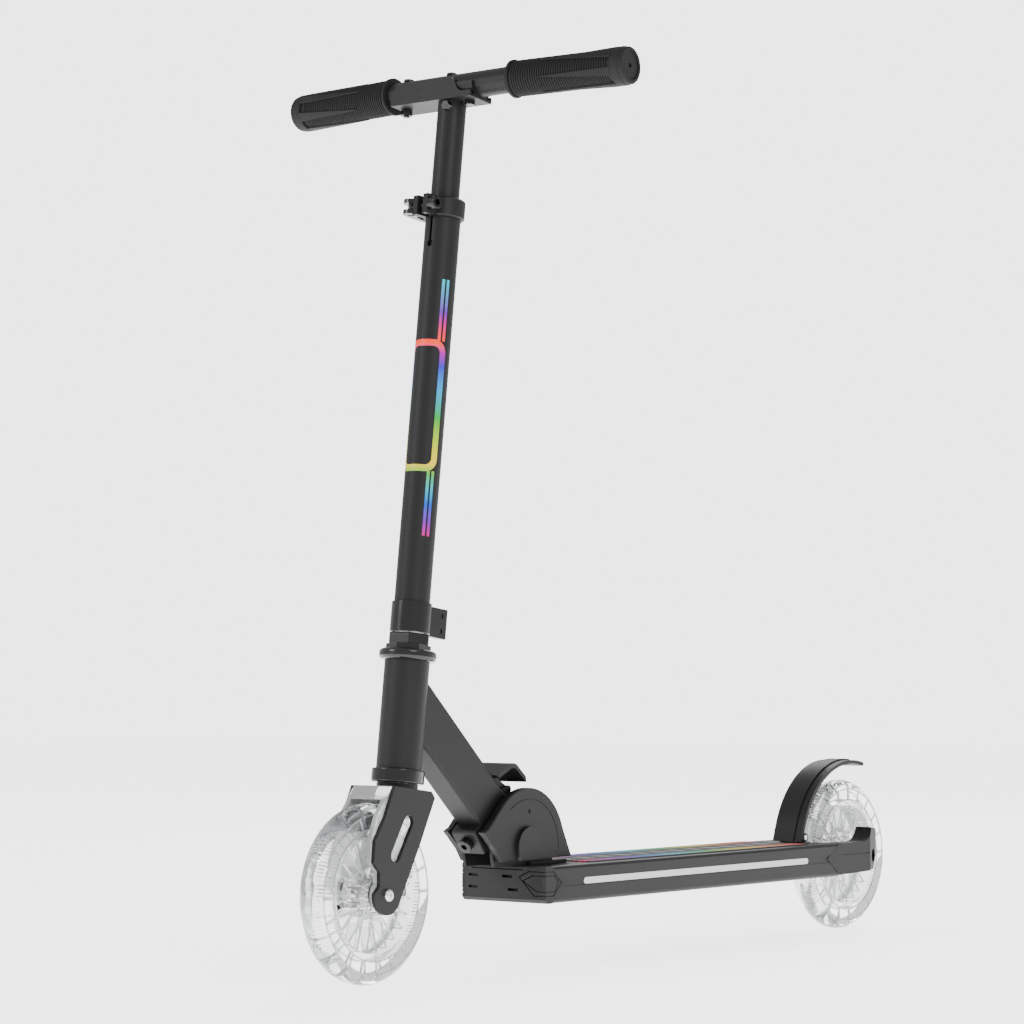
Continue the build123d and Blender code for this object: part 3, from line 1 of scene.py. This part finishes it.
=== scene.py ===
# %% [markdown]
# # A folding kick scooter, finished in Blender
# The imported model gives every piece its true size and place. This lesson adds what makes those
# pieces look real: powder coat, moulded plastic, rubber, clear cast wheels and printed graphics,
# and a few pieces whose fine shape is easier to model here.

# %% Load the frame
import bpy
import json
from math import atan2, cos, pi, radians, sin
from mathutils import Matrix, Vector


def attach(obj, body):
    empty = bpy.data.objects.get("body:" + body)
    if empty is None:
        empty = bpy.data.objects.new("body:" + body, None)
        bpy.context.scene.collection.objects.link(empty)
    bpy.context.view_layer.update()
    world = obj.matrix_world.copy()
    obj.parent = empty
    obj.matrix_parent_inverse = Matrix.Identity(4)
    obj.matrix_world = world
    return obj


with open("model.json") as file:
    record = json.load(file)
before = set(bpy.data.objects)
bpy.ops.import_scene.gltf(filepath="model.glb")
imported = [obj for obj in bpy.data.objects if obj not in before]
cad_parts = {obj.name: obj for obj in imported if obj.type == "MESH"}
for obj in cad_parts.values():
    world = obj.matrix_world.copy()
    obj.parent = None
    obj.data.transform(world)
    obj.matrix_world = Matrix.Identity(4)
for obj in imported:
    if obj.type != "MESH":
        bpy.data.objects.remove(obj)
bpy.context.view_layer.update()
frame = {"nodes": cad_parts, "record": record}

nodes = frame["nodes"]
joints = {joint["name"]: joint for joint in frame["record"]["behaviour"]["joints"]}
print("pieces from the packed model:", len(nodes))

# %% [markdown]
# ## The camera
# A long lens far away keeps the column and the wheels nearly parallel, as in a catalogue picture.
# The camera is aimed along a direction, so its turn is worked out from that direction.

# %% Camera
camera_data = bpy.data.cameras.new("studio_camera")
camera_data.lens = 108.5
camera_data.sensor_width = 36.0
camera = bpy.data.objects.new("studio_camera", camera_data)
bpy.context.scene.collection.objects.link(camera)
camera.location = (2.2392, 1.6205, 0.2471)
yaw, pitch = radians(37.99), radians(3.034)
aim = Vector((-cos(yaw) * cos(pitch), -sin(yaw) * cos(pitch), sin(pitch)))
camera.rotation_euler = aim.to_track_quat("-Z", "Y").to_euler()
bpy.context.scene.camera = camera
print("camera looks along", tuple(round(v, 3) for v in aim))

# %% [markdown]
# ## Floor and light
# Black paint shows its form only by what it mirrors. A white floor, a pale surround and three large
# soft lamps give long gentle highlights along the tubes.

# %% Floor, surround and lamps
bpy.ops.object.select_all(action="DESELECT")
bpy.ops.mesh.primitive_plane_add(size=14, location=(0, 0, 0))
floor = bpy.context.object
floor.name = "floor"
floor_paint = bpy.data.materials.new("floor_paint")
floor_paint.use_nodes = True
floor_shader = floor_paint.node_tree.nodes["Principled BSDF"]
floor_shader.inputs["Base Color"].default_value = (0.93, 0.93, 0.93, 1)
floor_shader.inputs["Roughness"].default_value = 0.75
floor_shader.inputs["Emission Color"].default_value = (1, 1, 1, 1)
floor_shader.inputs["Emission Strength"].default_value = 2.7
floor.data.materials.append(floor_paint)

world = bpy.context.scene.world or bpy.data.worlds.new("studio")
bpy.context.scene.world = world
world.use_nodes = True
surround = world.node_tree.nodes.get("Background")
surround.inputs["Color"].default_value = (1.0, 1.0, 1.0, 1)
surround.inputs["Strength"].default_value = 0.9
backdrop = world.node_tree.nodes.new("ShaderNodeBackground")
backdrop.inputs["Color"].default_value = (1.0, 1.0, 1.0, 1)
backdrop.inputs["Strength"].default_value = 3.6
seen = world.node_tree.nodes.new("ShaderNodeLightPath")
either = world.node_tree.nodes.new("ShaderNodeMixShader")
world.node_tree.links.new(seen.outputs["Is Camera Ray"], either.inputs[0])
world.node_tree.links.new(surround.outputs[0], either.inputs[1])
world.node_tree.links.new(backdrop.outputs[0], either.inputs[2])
world.node_tree.links.new(either.outputs[0], world.node_tree.nodes["World Output"].inputs[0])


def soft_lamp(name, place, target, size, power):
    """A large square lamp at a place, turned to a target."""
    data = bpy.data.lights.new(name, "AREA")
    data.energy = power
    data.size = size
    lamp = bpy.data.objects.new(name, data)
    bpy.context.scene.collection.objects.link(lamp)
    lamp.location = place
    lamp.rotation_euler = (Vector(target) - Vector(place)).to_track_quat("-Z", "Y").to_euler()
    return lamp


soft_lamp("key_lamp", (1.4, 2.6, 2.2), (0.1, 0, 0.35), 1.4, 42)
soft_lamp("side_lamp", (2.6, -1.4, 1.5), (0.1, 0, 0.35), 1.0, 26)
soft_lamp("back_lamp", (-2.2, -1.0, 1.9), (0, 0, 0.3), 1.2, 26)
print("lamps: 3")

# %% [markdown]
# ## Shader maths in plain Python
# Patterns are sums and products of coordinates. A small class wraps a socket, so that an
# expression such as `1 - mask` adds the Math nodes by itself.

# %% The value class and the node maker
class Value:
    """A number that varies over a surface."""

    def __init__(self, made_by, socket):
        self.by, self.socket = made_by, socket

    def _do(self, operation, *others):
        return self.by.node("ShaderNodeMath", {"operation": operation}, [self, *others])

    def __add__(self, other): return self._do("ADD", other)
    def __radd__(self, other): return self._do("ADD", other)
    def __sub__(self, other): return self._do("SUBTRACT", other)

    def __rsub__(self, other):
        return self.by.node("ShaderNodeMath", {"operation": "SUBTRACT"}, [other, self])

    def __mul__(self, other): return self._do("MULTIPLY", other)
    def __rmul__(self, other): return self._do("MULTIPLY", other)
    def __truediv__(self, other): return self._do("DIVIDE", other)
    def __abs__(self): return self._do("ABSOLUTE")
    def __gt__(self, other): return self._do("GREATER_THAN", other)
    def __lt__(self, other): return self._do("LESS_THAN", other)

    def larger(self, other): return self._do("MAXIMUM", other)
    def wave(self, step): return (self * (2 * pi / step))._do("SINE")
    def root(self): return self._do("SQRT")
    def angle_from(self, other): return self._do("ARCTAN2", other)


class Finish:
    """One material, with a single method that adds any node."""

    def __init__(self, name):
        self.material = bpy.data.materials.new(name)
        self.material.use_nodes = True
        self.tree = self.material.node_tree
        self.shader = self.tree.nodes["Principled BSDF"]

    def node(self, kind, settings=None, values=None, output=0):
        made = self.tree.nodes.new(kind)
        for key, value in (settings or {}).items():
            if key == "stops":
                ramp = made.color_ramp
                while len(ramp.elements) < len(value):
                    ramp.elements.new(0.5)
                for element, (place, colour) in zip(ramp.elements, value):
                    element.position = place
                    element.color = (*colour, 1)
            else:
                setattr(made, key, value)
        pairs = values.items() if isinstance(values, dict) else enumerate(values or [])
        for key, value in pairs:
            self.put(made.inputs[key], value)
        return Value(self, made.outputs[output])

    def put(self, socket, value):
        if isinstance(value, Value):
            self.tree.links.new(value.socket, socket)
        else:
            socket.default_value = value

    def place(self):
        """The point on the piece, as its three coordinates in metres."""
        point = self.node("ShaderNodeTexCoord", output=3)
        split = self.node("ShaderNodeSeparateXYZ", None, [point])
        outputs = split.socket.node.outputs
        return point, Value(self, outputs[0]), Value(self, outputs[1]), Value(self, outputs[2])

    def noise(self, scale, detail=3.0, rough=0.5):
        point = self.node("ShaderNodeTexCoord", output=3)
        return self.node(
            "ShaderNodeTexNoise", None,
            {"Vector": point, "Scale": scale, "Detail": detail, "Roughness": rough},
        )

    def blend(self, mask, first, second):
        """first where the mask is 0, second where it is 1; both are colours."""
        made = self.tree.nodes.new("ShaderNodeMix")
        made.data_type = "RGBA"
        self.put(made.inputs["Factor"], mask)
        for socket, colour in ((made.inputs[6], first), (made.inputs[7], second)):
            self.put(socket, colour if isinstance(colour, Value) else (*colour, 1))
        return Value(self, made.outputs[2])

    def surface(self, colour, rough, height=None, depth=0.0002, **fixed):
        self.put(self.shader.inputs["Base Color"], colour)
        self.put(self.shader.inputs["Roughness"], rough)
        if height is not None:
            bump = self.node(
                "ShaderNodeBump", None, {"Strength": 0.6, "Distance": depth, "Height": height}
            )
            self.put(self.shader.inputs["Normal"], bump)
        for key, value in fixed.items():
            self.shader.inputs[key.replace("_", " ")].default_value = value
        return self.material


print("shader maths ready")

# %% [markdown]
# ## Paints and metals
# Powder coat is plastic dust baked on metal, so it has a very fine orange-peel and no flakes. The
# headset cups are sprayed and polished. Bolts are blackened or bright steel with turning marks.

# %% Coated, sprayed and bare metal
def grained(name, dark, light, scale, rough, spread, depth, shine=0.25, **fixed):
    """A finish with a fine grain, a slow change of tone and matching gloss."""
    finish = Finish(name)
    grain = finish.noise(scale, 4.0)
    drift = finish.noise(14.0, 2.0)
    colour = finish.blend((grain * 0.5 + drift * 0.5), dark, light)
    finish.shader.inputs["Specular IOR Level"].default_value = shine
    return finish.surface(colour, rough + (drift - 0.5) * spread, grain, depth, **fixed)


powder = grained(
    "powder_coat", (0.003, 0.003, 0.0034), (0.007, 0.0072, 0.008),
    1400, 0.46, 0.12, 0.00006,
)
sprayed = grained(
    "sprayed_gloss", (0.002, 0.002, 0.0022), (0.005, 0.005, 0.0055),
    500, 0.16, 0.08, 0.00002, shine=0.5,
)
blackened = grained(
    "blackened_steel", (0.02, 0.02, 0.021), (0.06, 0.06, 0.062),
    900, 0.3, 0.14, 0.00004, Metallic=1.0,
)
bright = grained(
    "bright_steel", (0.5, 0.5, 0.51), (0.68, 0.68, 0.69),
    1100, 0.24, 0.16, 0.00003, Metallic=1.0,
)
satin = grained(
    "satin_strip", (0.42, 0.42, 0.43), (0.6, 0.6, 0.61),
    1500, 0.36, 0.12, 0.00003, Metallic=1.0,
)
print("metals: 5")

# %% [markdown]
# ## Plastic and rubber
# Moulded caps come out of an etched tool, which gives an even, fine grain. Grip rubber is duller
# and softer, and picks up a little grey dust.

# %% Moulded plastic and rubber
moulded = grained(
    "moulded_plastic", (0.004, 0.004, 0.0045), (0.009, 0.009, 0.01),
    2200, 0.52, 0.1, 0.00009,
)
rubber = grained("grip_rubber", (0.003, 0.003, 0.003), (0.008, 0.008, 0.008), 1700, 0.68, 0.12, 0.00008)
print("plastic and rubber ready")

# %% [markdown]
# ## Clear wheels
# The wheels are cast in clear polyurethane. Light goes through them and bends at every wall, so
# the finish is nearly glass, with faint ripples from casting and a whisper of grey.

# %% Clear casting
clear_finish = Finish("clear_casting")
ripple = clear_finish.noise(60.0, 2.0)
clear_colour = clear_finish.blend(ripple, (0.93, 0.945, 0.95), (0.99, 0.995, 1.0))
clear_finish.surface(clear_colour, 0.01 + ripple * 0.04, ripple, 0.0004)
clear_finish.shader.inputs["Transmission Weight"].default_value = 1.0
clear_finish.shader.inputs["IOR"].default_value = 1.45
clear = clear_finish.material

core_finish = Finish("clear_core")
core_ripple = core_finish.noise(80.0, 2.0)
core_finish.surface(
    core_finish.blend(core_ripple, (0.9, 0.915, 0.92), (0.99, 0.995, 1.0)), 0.03 + core_ripple * 0.05,
    core_ripple, 0.0003,
)
core_finish.shader.inputs["Transmission Weight"].default_value = 0.82
core_finish.shader.inputs["IOR"].default_value = 1.3
core_clear = core_finish.material

wall_finish = Finish("pocket_wall")
wall_tone = wall_finish.noise(220.0, 2.0)
wall_finish.surface(
    wall_finish.blend(wall_tone, (0.42, 0.44, 0.45), (0.8, 0.82, 0.83)), 0.06 + wall_tone * 0.06,
    wall_tone, 0.0002,
)
wall_finish.shader.inputs["Transmission Weight"].default_value = 0.75
wall_finish.shader.inputs["IOR"].default_value = 1.4
wall_clear = wall_finish.material

guard_finish = Finish("clear_guard")
swirl = guard_finish.noise(90.0, 3.0)
guard_finish.surface(
    guard_finish.blend(swirl, (0.85, 0.87, 0.88), (0.98, 0.99, 1.0)), 0.04 + swirl * 0.08, swirl, 0.0012
)
guard_finish.shader.inputs["Transmission Weight"].default_value = 0.72
guard_finish.shader.inputs["IOR"].default_value = 1.45
cloudy = guard_finish.material
print("clear casting ready")

# %% [markdown]
# ## Column graphics
# The column carries a printed film: two thin stripes above and below, and a rounded loop between
# them, all in rainbow colours. The pattern is worked out on the tube's own surface: one number
# says how far up the steering axis a point is, the other how far round the tube.

# %% Printed column
steer = joints["steer"]
axis = Vector(steer["axis"]).normalized()
anchor = Vector(steer["pos_m"])
anchor_station = 0.143
forward = Vector((axis.z, 0, -axis.x))
tube_radius = 0.01475

column = Finish("printed_column")
point, px, py, pz = column.place()
run_x, run_z = px - anchor.x, pz - anchor.z
station = run_x * axis.x + run_z * axis.z + anchor_station
ahead = run_x * forward.x + run_z * forward.z
around = py.angle_from(ahead) * tube_radius

film_low, film_high = 0.290, 0.505
loop_low, loop_high = 0.346, 0.451
rainbow = column.node(
    "ShaderNodeValToRGB",
    {"stops": [
        (0.0, (0.42, 0.0, 0.16)), (0.06, (0.14, 0.01, 0.4)), (0.12, (0.0, 0.06, 0.5)),
        (0.18, (0.0, 0.32, 0.4)), (0.24, (0.05, 0.35, 0.04)), (0.28, (0.7, 0.5, 0.0)),
        (0.36, (0.35, 0.45, 0.0)), (0.46, (0.01, 0.3, 0.03)), (0.57, (0.0, 0.25, 0.5)),
        (0.66, (0.03, 0.02, 0.45)), (0.71, (0.3, 0.0, 0.3)), (0.75, (0.8, 0.05, 0.0)),
        (0.8, (0.6, 0.01, 0.08)), (0.87, (0.12, 0.01, 0.35)), (1.0, (0.0, 0.36, 0.42)),
    ]},
    {"Fac": (station - film_low) / (film_high - film_low)},
)
stripe_place = 0.0172
stripe_edge = abs(abs(around - stripe_place) - 0.0021) - 0.0013
stripes = (stripe_edge < 0) * ((station > film_low) * (station < film_high))
inside_loop = (station > loop_low - 0.002) * (station < loop_high + 0.002)
half_loop = (loop_high - loop_low) / 2
across_loop = (abs(around - 0.0035) - 0.0075).larger(0)
along_loop = (abs(station - (loop_low + half_loop)) - (half_loop - 0.0085)).larger(0)
loop_edge = abs((across_loop * across_loop + along_loop * along_loop).root() - 0.0085) - 0.0028
loop = loop_edge < 0
film = (stripes * (1 - inside_loop)).larger(loop)
grain = column.noise(1400, 4.0)
coat = column.blend(grain, (0.003, 0.003, 0.0034), (0.007, 0.0072, 0.008))
column.shader.inputs["Specular IOR Level"].default_value = 0.25
column_paint = column.surface(
    column.blend(film, coat, rainbow), 0.44 - film * 0.14 + grain * 0.08, grain, 0.00005
)
print("column film from", film_low, "to", film_high)

# %% [markdown]
# ## Grip mat
# The mat is a printed abrasive sheet. A fine diamond knurl gives the grip, and bands of rainbow
# colour run along both sides with grey dashes between them.

# %% Printed mat
mat = Finish("printed_mat")
mx, my = mat.place()[1:3]
knurl = (mx + my).wave(0.0026) * (mx - my).wave(0.0026)
band = mat.node(
    "ShaderNodeValToRGB",
    {"stops": [
        (0.0, (0.5, 0.02, 0.05)), (0.15, (0.75, 0.18, 0.02)), (0.3, (0.72, 0.6, 0.03)),
        (0.45, (0.05, 0.45, 0.1)), (0.6, (0.02, 0.45, 0.62)), (0.75, (0.05, 0.1, 0.55)),
        (0.9, (0.4, 0.03, 0.4)), (1.0, (0.6, 0.03, 0.1)),
    ]},
    {"Fac": (mx + 0.246) / 0.35},
)
edge_band = (abs(abs(my) - 0.029) < 0.0042).larger(abs(abs(my) - 0.0205) < 0.0012)
dashes = (abs(my) < 0.009) * (mx.wave(0.028) > 0.1)
base = mat.blend(mat.noise(900, 4.0), (0.012, 0.012, 0.013), (0.06, 0.06, 0.062))
greyed = mat.blend(dashes, base, (0.22, 0.22, 0.23))
mat_paint = mat.surface(mat.blend(edge_band, greyed, band), 0.72 + knurl * 0.06, knurl, 0.0003)
print("mat ready")

# %% [markdown]
# ## Giving each piece its finish
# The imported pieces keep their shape; only the finish in their material slots changes.

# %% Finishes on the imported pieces
finishes = {
    powder: (
        "deck_extrusion", "down_tube", "head_tube", "fork", "riser_tube", "crossbar", "hinge_bracket",
        "lock_block", "fender_lugs", "bar_saddle", "brake_fender", "clamp_collar",
    ),
    column_paint: ("column_tube",),
    sprayed: ("headset_cup_top", "headset_cup_bottom", "band_clamp", "headset_nuts", "clamp_lever"),
    blackened: (
        "saddle_bolts", "saddle_nuts", "band_clamp_screws", "clamp_barrel_nut", "lock_bolt",
        "hinge_cover_screws", "lever_pin", "clamp_bolt", "front_axle_nut", "deck_hex_nuts",
        "rear_axle_bolt",
    ),
    bright: (
        "steerer_tube", "front_axle_spacers", "rear_axle_spacers", "front_bearings", "rear_bearings",
        "headset_bearings", "front_bearing_sleeve", "rear_bearing_sleeve", "fender_pin", "fender_spring",
        "rear_dropouts", "hinge_pivot_bolt", "front_axle_bolt",
    ),
    satin: ("side_strips",),
    moulded: (
        "deck_front_cap", "rear_cap_left", "rear_cap_right", "hinge_cover_left", "hinge_cover_right",
        "release_lever", "column_bush", "height_button",
    ),
    rubber: ("grip_left", "grip_right", "bar_end_caps"),
    mat_paint: ("deck_grip_mat",),
    clear: ("front_tyre", "rear_tyre"),
    core_clear: ("front_core", "rear_core"),
    cloudy: ("fork_guard",),
}
given = 0
for finish, names in finishes.items():
    for name in names:
        for place in nodes[name].material_slots:
            place.material = finish
        given += 1
print("finishes given:", given, "of", len(nodes))

# %% [markdown]
# ## Small helpers for modelling
# Each new piece starts as a primitive at its own size, is worked in edit mode, and is then turned
# into place with its shape kept in the mesh, so that its object sits at the origin.

# %% Modelling helpers
bar_station = 0.6725
bend_side = 0.060
bar_sweep = 4.0


def begin():
    """Leave edit mode and deselect everything."""
    if bpy.context.object and bpy.context.object.mode != "OBJECT":
        bpy.ops.object.mode_set(mode="OBJECT")
    bpy.ops.object.select_all(action="DESELECT")


def settle(piece, turn, name, body, finish):
    """Put a finished mesh in place, name it, and let it ride its body."""
    piece.data.transform(turn @ piece.matrix_world)
    piece.matrix_world = Matrix.Identity(4)
    piece.name = name
    piece.data.name = name
    piece.data.materials.clear()
    piece.data.materials.append(finish)
    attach(piece, body)
    return piece


def bar_turn(side):
    """Turns local Z to run outwards along one half of the swept bar."""
    centre = anchor + axis * (bar_station - anchor_station)
    bend = centre + Vector((0, side * bend_side, 0))
    sweep = radians(bar_sweep)
    run = Vector((0, side * cos(sweep), 0)) - forward * sin(sweep)
    up = axis
    out = run.normalized()
    third = up.cross(out).normalized()
    turn = Matrix((up, third, out)).transposed().to_4x4()
    turn.translation = bend
    return turn


def apply_all(piece):
    """Apply every modifier on the piece."""
    bpy.context.view_layer.objects.active = piece
    for modifier in list(piece.modifiers):
        bpy.ops.object.modifier_apply(modifier=modifier.name)


def join_all(pieces):
    """Join the pieces into the first one and smooth its gentle edges."""
    begin()
    for piece in pieces:
        piece.select_set(True)
    bpy.context.view_layer.objects.active = pieces[0]
    bpy.ops.object.join()
    bpy.ops.object.shade_smooth_by_angle(angle=radians(40))
    return pieces[0]


print("helpers ready")

# %% [markdown]
# ## Grip ribs
# A rubber grip is moulded with close rings that the palm bites into. One ring is a flattened
# torus; an Array modifier repeats it along the sleeve.

# %% Ribs on both grips
first_rib = 0.0095
rib_step = 0.0023
rib_count = 41
for side, word in ((1, "left"), (-1, "right")):
    begin()
    bpy.ops.mesh.primitive_torus_add(
        major_segments=64, minor_segments=8, major_radius=0.01405, minor_radius=0.00105,
        location=(0, 0, first_rib),
    )
    ribs = bpy.context.object
    bpy.ops.object.mode_set(mode="EDIT")
    bpy.ops.mesh.select_all(action="SELECT")
    bpy.ops.transform.resize(value=(1, 1, 0.85), center_override=(0, 0, first_rib))
    bpy.ops.object.mode_set(mode="OBJECT")
    row = ribs.modifiers.new("rings", "ARRAY")
    row.use_relative_offset = False
    row.use_constant_offset = True
    row.constant_offset_displace = (0, 0, rib_step)
    row.count = rib_count
    apply_all(ribs)
    bpy.ops.object.shade_smooth()
    settle(ribs, bar_turn(side), f"grip_ribs_{word}", "handlebar", rubber)
print("ribs:", rib_count, "on each grip")

# %% [markdown]
# ## Grip fins
# Long fins rise from the outer collar and taper away towards the inner end. A cube is drawn out,
# its inner end is pinched to a point, and its edges are bevelled; six copies go round the grip.

# %% Fins on both grips
fin_count = 6
fin_middle = (0.0143, 0, 0.0715)
fin_size = (0.0032, 0.0078, 0.070)
for side, word in ((1, "left"), (-1, "right")):
    fins = []
    for number in range(fin_count):
        begin()
        bpy.ops.mesh.primitive_cube_add(size=1, location=fin_middle, scale=fin_size)
        fin = bpy.context.object
        bpy.ops.object.transform_apply(location=False, rotation=False, scale=True)
        bpy.ops.object.mode_set(mode="EDIT")
        bpy.ops.mesh.select_all(action="DESELECT")
        bpy.ops.object.mode_set(mode="OBJECT")
        for vertex in fin.data.vertices:
            vertex.select = vertex.co.z < 0
        fin.data.update()
        bpy.ops.object.mode_set(mode="EDIT")
        bpy.ops.transform.resize(value=(0.8, 0.08, 1), center_override=(0.0143, 0.0028, 0.0405))
        bpy.ops.object.mode_set(mode="OBJECT")
        soften = fin.modifiers.new("soften", "BEVEL")
        soften.width = 0.0007
        soften.segments = 3
        apply_all(fin)
        turn = Matrix.Rotation(number * 2 * pi / fin_count, 4, "Z")
        fin.data.transform(turn @ fin.matrix_world)
        fin.matrix_world = Matrix.Identity(4)
        fins.append(fin)
    whole = join_all(fins)
    settle(whole, bar_turn(side), f"grip_fins_{word}", "handlebar", rubber)
print("fins:", fin_count, "on each grip")

# %% [markdown]
# ## Pockets in the clear tyres
# The tyre is cast with a row of shallow rounded pockets on each face, which catch the light as
# bright rectangles. Each wall between two pockets is one bevelled bar, repeated round the wheel.

# %% Pocket walls
wheel_spots = {
    "front": Vector(joints["front_wheel_spin"]["pos_m"]),
    "rear": Vector(joints["rear_wheel_spin"]["pos_m"]),
}
pocket_count = 20
wall_radius, wall_side = 0.0585, 0.0117
wall_size = (0.0105, 0.0014, 0.0026)
for word, hub in wheel_spots.items():
    bars = []
    for number in range(pocket_count):
        for face in (-1, 1):
            begin()
            place = (wall_radius, face * wall_side, 0)
            bpy.ops.mesh.primitive_cube_add(size=1, location=place, scale=wall_size)
            bar = bpy.context.object
            bpy.ops.object.transform_apply(location=False, rotation=False, scale=True)
            soften = bar.modifiers.new("soften", "BEVEL")
            soften.width = 0.0006
            soften.segments = 2
            apply_all(bar)
            turn = Matrix.Rotation(number * 2 * pi / pocket_count, 4, "Y")
            bar.data.transform(turn @ bar.matrix_world)
            bar.matrix_world = Matrix.Identity(4)
            bars.append(bar)
    begin()
    for radius in (0.0532, 0.0638):
        for face in (-1, 1):
            bpy.ops.mesh.primitive_torus_add(
                major_segments=96, minor_segments=8, major_radius=radius, minor_radius=0.0007,
                location=(0, face * 0.0119, 0), rotation=(pi / 2, 0, 0),
            )
            hoop = bpy.context.object
            hoop.data.transform(hoop.matrix_world)
            hoop.matrix_world = Matrix.Identity(4)
            bars.append(hoop)
    whole = join_all(bars)
    name, body = f"tyre_pockets_{word}", f"{word}_wheel"
    settle(whole, Matrix.Translation(hub), name, body, wall_clear)
print("pockets:", pocket_count, "on each face")
